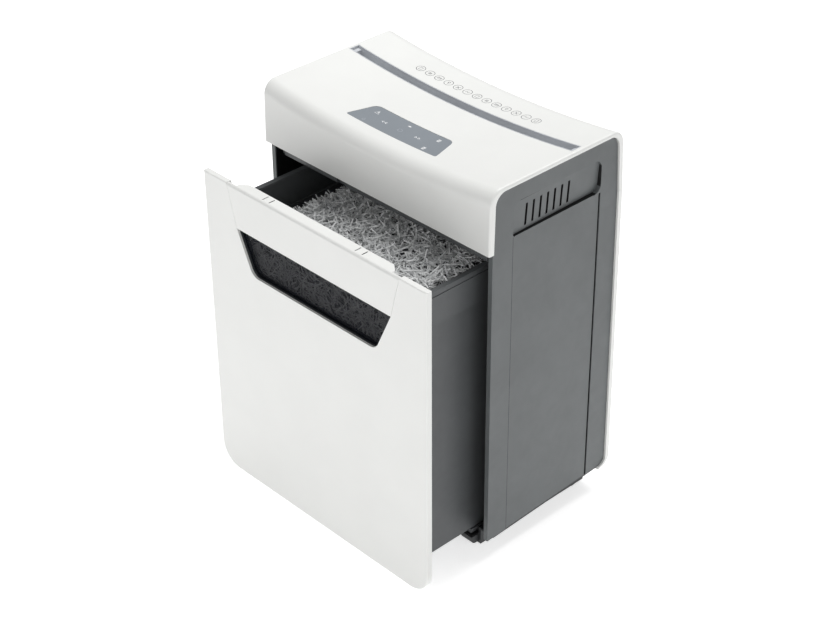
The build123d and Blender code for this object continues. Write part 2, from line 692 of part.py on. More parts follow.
def glide_strips():
    """Slippery strips on the runners."""
    strips = []
    for sign in (-1, 1):
        x_out = sign * (HALF_WIDTH - RUNNER_OUT - 1)
        x_in = x_out - sign * (RUNNER_WIDTH - 2)
        strips.append(
            box(x_in, x_out, PANEL_FRONT_Y + 1, base_rear_y(), RUNNER_TOP_Z, RUNNER_TOP_Z + GLIDE_THICK)
        )
    return strips


# --- Chassis and cutter unit --------------------------------------------------------
def head_chassis():
    """Floor of the head with the waste opening and the grey lip under its front."""
    half = PANEL_INNER_X - 0.5
    floor = box(-half, half, CHASSIS_FRONT_Y, BODY_DEPTH - 2 * COVER_WALL - 3, CHASSIS_Z, CHASSIS_TOP_Z)
    floor -= box(-half, -HALF_WIDTH + LIP_LEFT_MARGIN, 0, CHASSIS_FRONT_Y + CHASSIS_WALL, 0, BODY_HEIGHT)
    floor -= box(HALF_WIDTH - LIP_RIGHT_MARGIN, half, 0, CHASSIS_FRONT_Y + CHASSIS_WALL, 0, BODY_HEIGHT)
    lip_points = [
        (CHASSIS_FRONT_Y, CHASSIS_Z),
        (CHASSIS_FRONT_Y, CHASSIS_Z + LIP_HEIGHT),
        (CHASSIS_FRONT_Y + CHASSIS_WALL, CHASSIS_Z + LIP_HEIGHT),
        (CHASSIS_FRONT_Y + CHASSIS_WALL, CHASSIS_Z),
    ]
    floor += side_prism(
        lip_points, -HALF_WIDTH + LIP_LEFT_MARGIN, HALF_WIDTH - LIP_RIGHT_MARGIN, [(1, 1.2)]
    )
    low_edges = [
        edge
        for edge in floor.edges()
        if edge.bounding_box().size.X > HALF_WIDTH
        and edge.center().Z < CHASSIS_Z + 0.1
        and edge.center().Y < CHASSIS_FRONT_Y + 0.1
    ]
    floor = fillet(low_edges, 2.0)
    floor -= box(
        LIP_NOTCH_X - LIP_NOTCH_WIDTH / 2,
        LIP_NOTCH_X + LIP_NOTCH_WIDTH / 2,
        0,
        CHASSIS_FRONT_Y + CHASSIS_WALL,
        CHASSIS_Z - 1,
        BODY_HEIGHT,
    )
    waste_half = PLATE_X - 1
    floor -= box(
        -waste_half,
        waste_half,
        FRONT_AXIS_Y - CUTTER_R - WASTE_MARGIN,
        REAR_AXIS_Y + CUTTER_R + WASTE_MARGIN,
        CHASSIS_Z - 1,
        CHASSIS_TOP_Z + 1,
    )
    for x, y in boss_places():
        floor -= rod_z(SCREW_R, x, y, CHASSIS_Z - 1, CHASSIS_TOP_Z + 1)
    return floor


def cover_screws():
    """Screws up through the chassis into the head cover."""
    return [
        rod_z(SCREW_HEAD_R, x, y, CHASSIS_Z - SCREW_HEAD, CHASSIS_Z)
        + rod_z(SCREW_R, x, y, CHASSIS_Z - SCREW_HEAD, CHASSIS_TOP_Z + 9)
        for x, y in boss_places()
    ]


def tie_rod_places():
    """Where the tie rods cross the cutter plates."""
    ys = (FRONT_AXIS_Y - TIE_ROD_OUT, REAR_AXIS_Y + TIE_ROD_OUT)
    return [(y, AXIS_Z + sign * TIE_ROD_UP) for y in ys for sign in (-1, 1)]


def cutter_plate(x0, x1, front_y):
    """Steel end plate that holds the rollers' bushes."""
    rear_y = REAR_AXIS_Y + PLATE_REAR
    top = AXIS_Z + PLATE_TOP
    points = [(front_y, CHASSIS_TOP_Z), (rear_y, CHASSIS_TOP_Z), (rear_y, top), (front_y, top)]
    plate = side_prism(points, x0, x1, [(2, 6), (3, 6)])
    for y in (FRONT_AXIS_Y, REAR_AXIS_Y):
        plate -= rod_x(BUSH_R, x0 - 1, x1 + 1, y, AXIS_Z)
    for y, z in tie_rod_places():
        plate -= rod_x(TIE_ROD_R, x0 - 1, x1 + 1, y, z)
    return plate


def left_cutter_plate():
    """Plate on the gear side, long enough to carry the motor."""
    plate = cutter_plate(-PLATE_OUT_X, -PLATE_X, MOTOR_Y - MOTOR_R)
    plate -= rod_x(PINION_TEETH * PINION_MODULE / 2 + 3, -PLATE_OUT_X - 1, -PLATE_X + 1, MOTOR_Y, MOTOR_Z)
    y, z = idler_place()
    plate -= rod_x(AXLE_R, -PLATE_OUT_X - 1, -PLATE_X + 1, y, z)
    for y, z in motor_screw_places():
        plate -= rod_x(SCREW_R, -PLATE_OUT_X - 1, -PLATE_X + 1, y, z)
    return plate


def right_cutter_plate():
    """Plate on the sync gear side."""
    return cutter_plate(PLATE_X, PLATE_OUT_X, FRONT_AXIS_Y - PLATE_REAR)


def cutter_tie_rods():
    """Four rods that hold the plates apart."""
    return [rod_x(TIE_ROD_R, -PLATE_OUT_X, PLATE_OUT_X, y, z) for y, z in tie_rod_places()]


def cutter_bushes():
    """Flanged bushes in the plates."""
    bushes = []
    for sign in (-1, 1):
        for y in (FRONT_AXIS_Y, REAR_AXIS_Y):
            bush = rod_x(BUSH_R, sign * PLATE_X, sign * PLATE_OUT_X, y, AXIS_Z)
            bush += rod_x(BUSH_FLANGE_R, sign * (PLATE_X - BUSH_FLANGE), sign * PLATE_X, y, AXIS_Z)
            bush -= rod_x(SHAFT_R + RUNNING_FIT, sign * (PLATE_X - 5), sign * (PLATE_OUT_X + 5), y, AXIS_Z)
            bushes.append(bush)
    return bushes


def disc_count():
    """Cutting discs on each roller."""
    return int((2 * THROAT_HALF - DISC_PITCH) / DISC_PITCH)


def cutter_roller(y, x_shift, left_end, right_end):
    """Steel roller: a core, its discs with cross-cut notches, and its shaft ends."""
    core_half = PLATE_X - BUSH_FLANGE - 1.0
    count = disc_count()
    first = -(count - 1) / 2 * DISC_PITCH + x_shift
    points = [(-core_half, 0), (-core_half, CORE_R)]
    for number in range(count):
        x = first + number * DISC_PITCH
        points += [
            (x - DISC_THICK / 2, CORE_R),
            (x - DISC_THICK / 2, CUTTER_R),
            (x + DISC_THICK / 2, CUTTER_R),
            (x + DISC_THICK / 2, CORE_R),
        ]
    points += [(core_half, CORE_R), (core_half, 0)]
    roller = revolve(Polygon(*points, align=None), Axis.X)
    notch = Pos(0, CUTTER_R, 0) * Rot(45, 0, 0) * Box(2 * core_half + 2, NOTCH_DEPTH, NOTCH_DEPTH)
    for number in range(NOTCH_COUNT):
        roller -= Rot(360 / NOTCH_COUNT * (number + 0.5), 0, 0) * notch
    roller = Pos(0, y, AXIS_Z) * roller
    roller += rod_x(SHAFT_R, left_end, -core_half + 1, y, AXIS_Z)
    roller += rod_x(SHAFT_R, core_half - 1, right_end, y, AXIS_Z)
    return roller


def sync_x():
    """Inner face of the two sync gears."""
    return PLATE_OUT_X + GEAR_GAP


def front_cutter_roller():
    """Front roller, driven from the gearbox end."""
    return cutter_roller(FRONT_AXIS_Y, 0, GEARBOX_X - GEARBOX_WALL / 2, sync_x() + SYNC_WIDTH + 1)


def rear_cutter_roller():
    """Rear roller, its discs between the front roller's."""
    left_end = -PLATE_OUT_X - GEAR_GAP
    return cutter_roller(REAR_AXIS_Y, DISC_PITCH / 2, left_end, sync_x() + SYNC_WIDTH + 1)


def stripper_comb(y, x_shift, side):
    """Comb whose fingers reach between the discs to clear them."""
    count = disc_count() - 1
    first = -(count - 1) / 2 * DISC_PITCH + x_shift
    bar_near = y + side * (CUTTER_R + COMB_GAP)
    half = COMB_HEIGHT / 2
    comb = box(
        -PLATE_X, PLATE_X, bar_near, bar_near + side * COMB_BAR, AXIS_Z - half - 2, AXIS_Z + half + 2
    )
    for number in range(count):
        x = first + number * DISC_PITCH
        comb += box(
            x - COMB_FINGER / 2,
            x + COMB_FINGER / 2,
            y + side * CORE_R / 2,
            bar_near + side * COMB_BAR / 2,
            AXIS_Z - half,
            AXIS_Z + half,
        )
    return comb - rod_x(CORE_R + COMB_CORE_GAP, -PLATE_X, PLATE_X, y, AXIS_Z)


# --- Gears --------------------------------------------------------------------------
def idler_place():
    """Axis of the intermediate gear, from its two centre distances."""
    to_motor = (LARGE_TEETH + PINION_TEETH) * PINION_MODULE / 2
    to_roller = DRIVE_REACH
    dy = FRONT_AXIS_Y - MOTOR_Y
    dz = AXIS_Z - MOTOR_Z
    apart = math.hypot(dy, dz)
    turn = math.acos((to_motor**2 + apart**2 - to_roller**2) / (2 * to_motor * apart))
    heading = math.atan2(dz, dy) + turn
    return MOTOR_Y + to_motor * math.cos(heading), MOTOR_Z + to_motor * math.sin(heading)


def bearing_angle(start, end):
    """Direction from one (y, z) place to another, in degrees."""
    return math.degrees(math.atan2(end[1] - start[1], end[0] - start[0]))


def spur_gear(teeth, module, width, x, place, tooth_angle, bore):
    """Spur gear about X at a (y, z) place, with one tooth centred on tooth_angle."""
    tip_r = teeth * module / 2 + ADDENDUM * module
    root_r = teeth * module / 2 - DEDENDUM * module
    step = 360 / teeth
    points = []
    for number in range(teeth):
        middle = tooth_angle + number * step
        for radius, share in (
            (root_r, -ROOT_SHARE),
            (tip_r, -TIP_SHARE),
            (tip_r, TIP_SHARE),
            (root_r, ROOT_SHARE),
        ):
            angle = math.radians(middle + share * step)
            points.append((radius * math.cos(angle), radius * math.sin(angle)))
    blank = Plane.YZ * (Polygon(*points, align=None) - Circle(bore))
    return Pos(x, *place) * extrude(blank, width)


def front_roller_drive_gear():
    """Large gear that turns the front roller."""
    place = (FRONT_AXIS_Y, AXIS_Z)
    angle = bearing_angle(place, idler_place())
    return spur_gear(DRIVE_TEETH, DRIVE_MODULE, DRIVE_WIDTH, DRIVE_X - DRIVE_WIDTH, place, angle, SHAFT_R)


def intermediate_gear():
    """Compound gear: the large wheel takes the motor, the small one turns the roller."""
    place = idler_place()
    bore = AXLE_R + RUNNING_FIT
    motor_angle = bearing_angle(place, (MOTOR_Y, MOTOR_Z)) + 180 / LARGE_TEETH
    roller_angle = bearing_angle(place, (FRONT_AXIS_Y, AXIS_Z)) + 180 / SMALL_TEETH
    large = spur_gear(
        LARGE_TEETH, PINION_MODULE, LARGE_WIDTH, LARGE_X - LARGE_WIDTH, place, motor_angle, bore
    )
    long_width = DRIVE_WIDTH + GEAR_GAP
    small = spur_gear(
        SMALL_TEETH, DRIVE_MODULE, long_width, DRIVE_X - DRIVE_WIDTH, place, roller_angle, bore
    )
    return large + small


def motor_pinion():
    """Small gear on the motor's shaft."""
    place = (MOTOR_Y, MOTOR_Z)
    angle = bearing_angle(place, idler_place())
    return spur_gear(
        PINION_TEETH, PINION_MODULE, LARGE_WIDTH, LARGE_X - LARGE_WIDTH, place, angle, MOTOR_SHAFT_R
    )


def sync_gears():
    """Equal gears that make the two rollers turn together."""
    module = CUTTER_SPACING / SYNC_TEETH
    front = spur_gear(SYNC_TEETH, module, SYNC_WIDTH, sync_x(), (FRONT_AXIS_Y, AXIS_Z), 0, SHAFT_R)
    rear_angle = 180 + 180 / SYNC_TEETH
    rear = spur_gear(SYNC_TEETH, module, SYNC_WIDTH, sync_x(), (REAR_AXIS_Y, AXIS_Z), rear_angle, SHAFT_R)
    return front, rear


def idler_axle():
    """Fixed pin that the intermediate gear runs on."""
    y, z = idler_place()
    return rod_x(AXLE_R, GEARBOX_X, -PLATE_X, y, z)


def gearbox_outline(grow):
    """Side view of the room for the gears, higher over the intermediate gear."""
    idler_y, idler_z = idler_place()
    large_r = LARGE_TEETH * PINION_MODULE / 2 + PINION_MODULE
    drive_r = DRIVE_TEETH * DRIVE_MODULE / 2 + DRIVE_MODULE
    pinion_r = PINION_TEETH * PINION_MODULE / 2 + PINION_MODULE
    front = min(MOTOR_Y - pinion_r, idler_y - large_r) - GEARBOX_CLEAR - grow
    back = FRONT_AXIS_Y + drive_r + GEARBOX_CLEAR / 2 + grow
    step = idler_y + large_r + GEARBOX_CLEAR / 2 + grow
    low = AXIS_Z - drive_r - GEARBOX_CLEAR - grow
    middle = AXIS_Z + drive_r + GEARBOX_CLEAR + grow
    high = idler_z + large_r + GEARBOX_CLEAR + grow
    return [(front, low), (back, low), (back, middle), (step, middle), (step, high), (front, high)]


def gearbox_cover():
    """Plastic cover over the drive gears, with the front roller's end bearing."""
    cover = side_prism(gearbox_outline(GEARBOX_WALL), GEARBOX_X - GEARBOX_WALL, -PLATE_OUT_X)
    cover -= side_prism(gearbox_outline(0), GEARBOX_X, 0)
    return cover - rod_x(
        SHAFT_R + RUNNING_FIT, GEARBOX_X - GEARBOX_WALL - 1, 0, FRONT_AXIS_Y, AXIS_Z
    )


# --- Motor --------------------------------------------------------------------------
def motor_screw_places():
    """Two screws through the left plate into the motor."""
    return [(MOTOR_Y, MOTOR_Z + sign * (MOTOR_R - 8)) for sign in (-1, 1)]


def motor_end_x():
    """Right-hand end of the motor's can."""
    return -PLATE_X + MOTOR_LENGTH


def motor_can():
    """Steel can with a closed left end."""
    can = rod_x(MOTOR_R, -PLATE_X, motor_end_x(), MOTOR_Y, MOTOR_Z)
    can -= rod_x(MOTOR_R - MOTOR_WALL, -PLATE_X + MOTOR_END, motor_end_x() + 1, MOTOR_Y, MOTOR_Z)
    can -= rod_x(MOTOR_SHAFT_R + RUNNING_FIT, -PLATE_X - 1, 0, MOTOR_Y, MOTOR_Z)
    for y, z in motor_screw_places():
        can -= rod_x(SCREW_R, -PLATE_X - 1, -PLATE_X + MOTOR_END - 1, y, z)
    return can


def motor_end_cap():
    """Plastic cap with the rear bearing."""
    x = motor_end_x()
    cap = rod_x(MOTOR_R, x, x + MOTOR_END, MOTOR_Y, MOTOR_Z)
    cap += rod_x(MOTOR_R - MOTOR_WALL - 0.1, x - MOTOR_WALL, x, MOTOR_Y, MOTOR_Z)
    return cap - rod_x(MOTOR_SHAFT_R + RUNNING_FIT, x - 10, x + 10, MOTOR_Y, MOTOR_Z)


def motor_rotor():
    """Shaft with its armature and commutator."""
    left = LARGE_X - LARGE_WIDTH
    right = motor_end_x() + MOTOR_END + FAN_WIDTH + 2
    rotor = rod_x(MOTOR_SHAFT_R, left, right, MOTOR_Y, MOTOR_Z)
    armature_r = MOTOR_R - MOTOR_WALL - ARMATURE_GAP
    armature_left = -PLATE_X + MOTOR_END + ARMATURE_END_GAP
    armature_right = motor_end_x() - 3 * ARMATURE_END_GAP
    rotor += rod_x(armature_r, armature_left, armature_right, MOTOR_Y, MOTOR_Z)
    return rotor + rod_x(armature_r / 2, armature_right, armature_right + 10, MOTOR_Y, MOTOR_Z)


def motor_fan():
    """Cooling fan on the shaft's free end."""
    x = motor_end_x() + MOTOR_END + 1
    fan = rod_x(MOTOR_SHAFT_R + 3, x, x + FAN_WIDTH, MOTOR_Y, MOTOR_Z)
    fan += rod_x(FAN_R, x, x + 1.2, MOTOR_Y, MOTOR_Z)
    for number in range(FAN_BLADES):
        blade = box(0, FAN_WIDTH, MOTOR_SHAFT_R + 1, FAN_R - 0.5, -0.6, 0.6)
        fan += Pos(x, MOTOR_Y, MOTOR_Z) * Rot(360 / FAN_BLADES * number, 0, 0) * blade
    return fan - rod_x(MOTOR_SHAFT_R, x - 1, x + FAN_WIDTH + 1, MOTOR_Y, MOTOR_Z)


def motor_screws():
    """Screws that hold the motor to the left plate."""
    return [
        rod_x(SCREW_HEAD_R, -PLATE_OUT_X - SCREW_HEAD, -PLATE_OUT_X, y, z)
        + rod_x(SCREW_R, -PLATE_OUT_X - SCREW_HEAD, -PLATE_X + MOTOR_END - 2, y, z)
        for y, z in motor_screw_places()
    ]


# --- Electrical pieces --------------------------------------------------------------
def control_board():
    """Touch board under the control panel, with its indicator lights."""
    top = LOW_TOP_Z - CONTROL_BOARD_DROP
    half = OVERLAY_BACK_HALF
    board = box(-half, half, OVERLAY_FRONT_Y + 1, OVERLAY_BACK_Y - 1, top - BOARD_THICK, top)
    y = (OVERLAY_FRONT_Y + OVERLAY_BACK_Y) / 2
    for x in LIGHT_PLACES:
        board += box(
            x - LIGHT_HALF, x + LIGHT_HALF, y - LIGHT_HALF, y + LIGHT_HALF, top, top + LIGHT_HEIGHT
        )
    return board


def power_board_z():
    """Underside of the power board."""
    return CHASSIS_TOP_Z + STANDOFF


def power_board():
    """Main board on four standoffs."""
    x0 = POWER_BOARD_X - POWER_BOARD_LENGTH / 2
    x1 = POWER_BOARD_X + POWER_BOARD_LENGTH / 2
    y0 = POWER_BOARD_Y - POWER_BOARD_WIDTH / 2
    y1 = POWER_BOARD_Y + POWER_BOARD_WIDTH / 2
    z = power_board_z()
    board = box(x0, x1, y0, y1, z, z + BOARD_THICK)
    for x in (x0 + STANDOFF_INSET, x1 - STANDOFF_INSET):
        for y in (y0 + STANDOFF_INSET, y1 - STANDOFF_INSET):
            board += rod_z(STANDOFF_R, x, y, CHASSIS_TOP_Z, z)
    return board


def on_board(size, along, across):
    """Block of a size standing on the power board, its middle off the board's middle."""
    length, width, height = size
    x = POWER_BOARD_X + along * POWER_BOARD_LENGTH
    y = POWER_BOARD_Y + across * POWER_BOARD_WIDTH
    z = power_board_z() + BOARD_THICK
    return box(x - length / 2, x + length / 2, y - width / 2, y + width / 2, z, z + height)


def board_components():
    """Transformer, smoothing capacitors, relays and a chip."""
    z = power_board_z() + BOARD_THICK
    pieces = [on_board(TRANSFORMER, 0.285, 0), on_board(CHIP, -0.35, 0)]
    for side in (-1, 1):
        y = POWER_BOARD_Y + side * (CAPACITOR_R + 2)
        pieces.append(rod_z(CAPACITOR_R, POWER_BOARD_X + 2, y, z, z + CAPACITOR_HEIGHT))
        pieces.append(on_board(RELAY, -0.143, side * 0.2))
    return pieces


def paper_sensor_pair():
    """Light source and receiver on the two sides of the chute."""
    out = THROAT_GAP / 2 + CHUTE_WALL
    low = chute_bottom() + 0.5
    half = SENSOR_SIZE / 2
    return [
        box(-half, half, THROAT_Y - out - 5, THROAT_Y - out, low, low + 5),
        box(-half, half, THROAT_Y + out, THROAT_Y + out + 5, low, low + 5),
    ]


def switch_face_y():
    """Back face of the head where the mains switch sits."""
    return BODY_DEPTH - REAR_DRAFT * SWITCH_RISE / HEAD_HEIGHT


def switch_window():
    """Opening for the mains switch in the head cover."""
    z = SEAM_Z + SWITCH_RISE
    return box(
        SWITCH_X - SWITCH_HALF_WIDTH - SLIP_FIT,
        SWITCH_X + SWITCH_HALF_WIDTH + SLIP_FIT,
        BODY_DEPTH - 20,
        BODY_DEPTH + 5,
        z - SWITCH_HALF_HEIGHT - SLIP_FIT,
        z + SWITCH_HALF_HEIGHT + SLIP_FIT,
    )


def mains_switch_body():
    """Housing of the mains switch, with a flange outside the cover."""
    z = SEAM_Z + SWITCH_RISE
    face = switch_face_y()
    w = SWITCH_HALF_WIDTH
    h = SWITCH_HALF_HEIGHT
    body = box(SWITCH_X - w, SWITCH_X + w, face - SWITCH_DEPTH, face + BEZEL, z - h, z + h)
    flange = box(SWITCH_X - w - 1.5, SWITCH_X + w + 1.5, face + 0.8, face + BEZEL, z - h - 1.5, z + h + 1.5)
    hollow = box(
        SWITCH_X - w + SWITCH_WALL,
        SWITCH_X + w - SWITCH_WALL,
        face - SWITCH_DEPTH + SWITCH_WALL,
        face + BEZEL + 1,
        z - h + SWITCH_WALL,
        z + h - SWITCH_WALL,
    )
    pivot = rod_x(1.4, SWITCH_X - w, SWITCH_X + w, face - 4, z)
    return body + flange - hollow + pivot


def mains_rocker():
    """Rocker on its pin, tilted to one side at rest."""
    z = SEAM_Z + SWITCH_RISE
    half = SWITCH_HALF_WIDTH - SWITCH_WALL - ROCKER_GAP
    reach = SWITCH_HALF_HEIGHT - SWITCH_WALL - 4 * ROCKER_GAP
    outline = [(-4, -4), (5.2, -reach), (6.8, -reach), (5.2, 0), (6.8, reach), (5.2, reach), (-4, 4)]
    rocker = side_prism(outline, -half, half)
    rocker -= rod_x(1.4 + RUNNING_FIT, -half - 1, half + 1, 0, 0)
    return Pos(SWITCH_X, switch_face_y() - 4, z) * Rot(ROCKER_TILT, 0, 0) * rocker


def cable_gland():
    """Grommet for the mains lead."""
    z = SEAM_Z + GLAND_RISE
    face = BODY_DEPTH - REAR_DRAFT * GLAND_RISE / HEAD_HEIGHT
    gland = rod_y(GLAND_R, GLAND_X, face - COVER_WALL - 2, face + 2, z)
    gland += rod_y(GLAND_R + 1.5, GLAND_X, face + 0.5, face + 2, z)
    gland += rod_y(GLAND_R + 1.5, GLAND_X, face - COVER_WALL - 2, face - COVER_WALL - 0.5, z)
    return gland - rod_y(GLAND_BORE_R, GLAND_X, face - 20, face + 10, z)


def interlock_front_y():
    """Front face of the interlock switch, on the rear cover's inside."""
    depth_share = INTERLOCK_DROP / (SEAM_Z - bottom_z(BODY_DEPTH + REAR_LEAN) + RIM_TOP)
    return BODY_DEPTH + REAR_LEAN * depth_share - COVER_WALL - INTERLOCK_DEPTH


def interlock_switch():
    """Switch that lets the cutters run only with the bin home."""
    z = SEAM_Z - INTERLOCK_DROP
    y = interlock_front_y()
    body = box(
        INTERLOCK_X - INTERLOCK_WIDTH / 2,
        INTERLOCK_X + INTERLOCK_WIDTH / 2,
        y,
        y + INTERLOCK_DEPTH - 0.1,
        z - INTERLOCK_HEIGHT / 2,
        z + INTERLOCK_HEIGHT / 2,
    )
    return body - rod_y(PLUNGER_R + RUNNING_FIT, INTERLOCK_X, y - 1, y + INTERLOCK_DEPTH - 1, z)


def interlock_plunger():
    """Sprung pin that the bin presses."""
    y = interlock_front_y()
    inside = INTERLOCK_DEPTH - 1 - PLUNGER_TRAVEL - 0.3
    pin = rod_y(PLUNGER_R, INTERLOCK_X, y - PLUNGER_OUT, y + inside, SEAM_Z - INTERLOCK_DROP)
    return pin


# --- Drawer -------------------------------------------------------------------------
def window_points(grow, extra_top):
    """Front view of the window, grown by grow and raised by extra_top at its top."""
    slope = (WINDOW_TOP_HALF - WINDOW_LOW_HALF) / WINDOW_HEIGHT
    top_half = WINDOW_TOP_HALF + slope * extra_top + grow
    low_half = WINDOW_LOW_HALF + grow
    low = WINDOW_LOW_Z - grow
    high = WINDOW_TOP_Z + extra_top
    return [(-low_half, low), (low_half, low), (top_half, high), (-top_half, high)]


def flap_points(gap):
    """Front view of the pull flap, shrunk by gap at its two sides."""
    return [
        (-WINDOW_TOP_HALF + gap, WINDOW_TOP_Z),
        (WINDOW_TOP_HALF - gap, WINDOW_TOP_Z),
        (FLAP_TOP_HALF - gap, FRONT_TOP_Z),
        (-FLAP_TOP_HALF + gap, FRONT_TOP_Z),
    ]


def drawer_screw_places():
    """Screws from inside the bin into the drawer front."""
    return [(sign * (BIN_X - 20), z) for sign in (-1, 1) for z in (BIN_BOTTOM_Z + 30, WINDOW_LOW_Z - 50)]


def drawer_front():
    """White front panel, cut out for the window and the pull flap."""
    points = [
        (-HALF_WIDTH, FRONT_BOTTOM_Z),
        (HALF_WIDTH, FRONT_BOTTOM_Z),
        (HALF_WIDTH, FRONT_TOP_Z),
        (-HALF_WIDTH, FRONT_TOP_Z),
    ]
    rounds = [(0, FRONT_CORNER_R), (1, FRONT_CORNER_R)]
    panel = front_prism(points, FRONT_FACE_Y, FRONT_BACK_Y, rounds)
    outer_edges = [edge for edge in panel.edges() if abs(edge.center().Y - FRONT_FACE_Y) < 0.01]
    panel = fillet(outer_edges, FRONT_EDGE_R)
    rim = FRONT_THICK - FRONT_WALL
    inner = [
        (-HALF_WIDTH + rim, FRONT_BOTTOM_Z + rim),
        (HALF_WIDTH - rim, FRONT_BOTTOM_Z + rim),
        (HALF_WIDTH - rim, FRONT_TOP_Z - rim),
        (-HALF_WIDTH + rim, FRONT_TOP_Z - rim),
    ]
    inner_rounds = [(0, FRONT_CORNER_R - rim), (1, FRONT_CORNER_R - rim)]
    panel -= front_prism(inner, FRONT_FACE_Y + FRONT_WALL, FRONT_BACK_Y + 1, inner_rounds)
    panel -= front_prism(
        window_points(0, 0.01), FRONT_FACE_Y - 1, FRONT_BACK_Y + 1, [(0, WINDOW_R), (1, WINDOW_R)]
    )
    panel -= front_prism(flap_points(0), FRONT_FACE_Y - 1, FRONT_BACK_Y + 1)
    for x, z in drawer_screw_places():
        panel += rod_y(BOSS_R, x, FRONT_FACE_Y + FRONT_WALL, BIN_FRONT_Y, z)
        panel -= rod_y(SCREW_R, x, FRONT_FACE_Y + FRONT_WALL + 0.5, BIN_FRONT_Y + 1, z)
    return panel


def pull_flap():
    """White flap above the window, turned in along its top."""
    face = FRONT_FACE_Y
    plate = front_prism(flap_points(FLAP_SEAM), face, face + FLAP_WALL)
    wide = FLAP_SHELF_HALF + FLAP_SHELF_TAPER
    shelf = [
        (-FLAP_SHELF_HALF, face + FLAP_DEPTH),
        (FLAP_SHELF_HALF, face + FLAP_DEPTH),
        (wide, face + FRONT_THICK),
        (wide, face + FLAP_WALL / 2),
        (-wide, face + FLAP_WALL / 2),
        (-wide, face + FRONT_THICK),
    ]
    rounds = [(0, FLAP_SHELF), (1, FLAP_SHELF)]
    flap = plate + upright_prism(shelf, FRONT_TOP_Z - FLAP_SHELF, FRONT_TOP_Z, rounds)
    roll = [
        edge
        for edge in flap.edges()
        if edge.bounding_box().size.X > FLAP_TOP_HALF
        and abs(edge.center().Y - face) < 0.01
        and edge.center().Z > FRONT_TOP_Z - 1
    ]
    flap = fillet(roll, FLAP_WALL - 0.2)
    slit_y = face + SLIT_FRONT
    for x in SLIT_PLACES:
        flap -= box(
            x - SLIT_WIDTH / 2,
            x + SLIT_WIDTH / 2,
            slit_y,
            slit_y + SLIT_LENGTH,
            FRONT_TOP_Z - SLIT_DEPTH,
            FRONT_TOP_Z + 1,
        )
    return flap


def window_frame():
    """Grey frame that lines the window and holds the pane."""
    front = FRONT_FACE_Y + FRONT_WALL + 0.1
    pane_y = FRONT_FACE_Y + FRAME_DEPTH
    rounds = [(0, WINDOW_R), (1, WINDOW_R)]
    outer_rounds = [(0, WINDOW_R + FRAME_WALL), (1, WINDOW_R + FRAME_WALL)]
    tube = window_points(FRAME_WALL, FRAME_RISE + FRAME_WALL)
    middle = front + FRAME_FLANGE_THICK / 2
    frame = front_prism(tube, middle, pane_y + PANE_THICK, outer_rounds)
    flange = front_prism(
        window_points(FRAME_FLANGE, 0), front, front + FRAME_FLANGE_THICK, outer_rounds
    )
    frame += flange
    frame -= front_prism(window_points(0, FRAME_RISE), FRONT_FACE_Y, pane_y, rounds)
    frame -= front_prism(window_points(-FRAME_WALL, FRAME_RISE - FRAME_WALL), front, pane_y + 10, rounds)
    clear_flap = flap_points(-FLAP_CLEAR)
    frame -= front_prism(clear_flap, FRONT_FACE_Y, FRONT_FACE_Y + FLAP_WALL + SEAM_GAP)
    return frame


def window_pane():
    """Smoked pane against the back lip of the frame."""
    y = FRONT_FACE_Y + FRAME_DEPTH
    pane = window_points(-SLIP_FIT, FRAME_RISE - SLIP_FIT)
    rounds = [(0, WINDOW_R), (1, WINDOW_R)]
    return front_prism(pane, y - PANE_THICK, y, rounds)


def bin_box(grow, y_grow, z0, z1):
    """Box with the bin's plan, grown sideways and in depth."""
    half = BIN_X - COLLAR_STEP + grow
    return box(-half, half, BIN_FRONT_Y - y_grow, BIN_REAR_Y + y_grow, z0, z1)


def waste_bin():
    """Grey bin with its wider collar, rim and skids."""
    collar_z = BIN_TOP_Z - COLLAR_HEIGHT
    shell = bin_box(0, 0, BIN_BOTTOM_Z, BIN_TOP_Z)
    upright = [edge for edge in shell.edges() if abs(edge.bounding_box().size.Z) > 10]
    shell = fillet(upright, BIN_CORNER_R)
    bottom = [edge for edge in shell.edges() if edge.center().Z < BIN_BOTTOM_Z + 0.1]
    shell = fillet(bottom, 3)
    shell += bin_box(COLLAR_STEP, 0, collar_z, BIN_TOP_Z)
    shell -= bin_box(-BIN_WALL, -BIN_WALL, BIN_BOTTOM_Z + BIN_WALL, BIN_TOP_Z + 1)
    hollow_low = collar_z + BIN_WALL
    rim_line_z = BIN_TOP_Z - RIM_LINE_DROP
    y0 = BIN_FRONT_Y - 1
    y1 = BIN_REAR_Y + 1
    for sign in (-1, 1):
        step_x = sign * (BIN_X - COLLAR_STEP - COLLAR_LINE_DEPTH)
        shell -= box(step_x, sign * BODY_WIDTH, y0, y1, collar_z - COLLAR_LINE_WIDTH, collar_z)
        line_x = sign * (BIN_X - RIM_LINE_WIDTH)
        shell -= box(line_x, sign * BODY_WIDTH, y0, y1, rim_line_z - RIM_LINE_WIDTH, rim_line_z)
    shell -= bin_box(COLLAR_STEP - BIN_WALL, -BIN_WALL, hollow_low, BIN_TOP_Z - RIM_FLANGE_THICK)
    shell -= bin_window()
    for sign in (-1, 1):
        x_out = sign * (HALF_WIDTH - RUNNER_OUT - 4)
        x_in = x_out - sign * SKID_WIDTH
        skid_z = RUNNER_TOP_Z + GLIDE_THICK + SKID_GAP
        shell += box(x_in, x_out, SKID_FRONT_Y, SKID_FRONT_Y + SKID_LENGTH, skid_z, BIN_BOTTOM_Z + 1)
    for x, z in drawer_screw_places():
        shell -= rod_y(SCREW_R, x, BIN_FRONT_Y - 1, BIN_FRONT_Y + BIN_WALL + 1, z)
    return shell


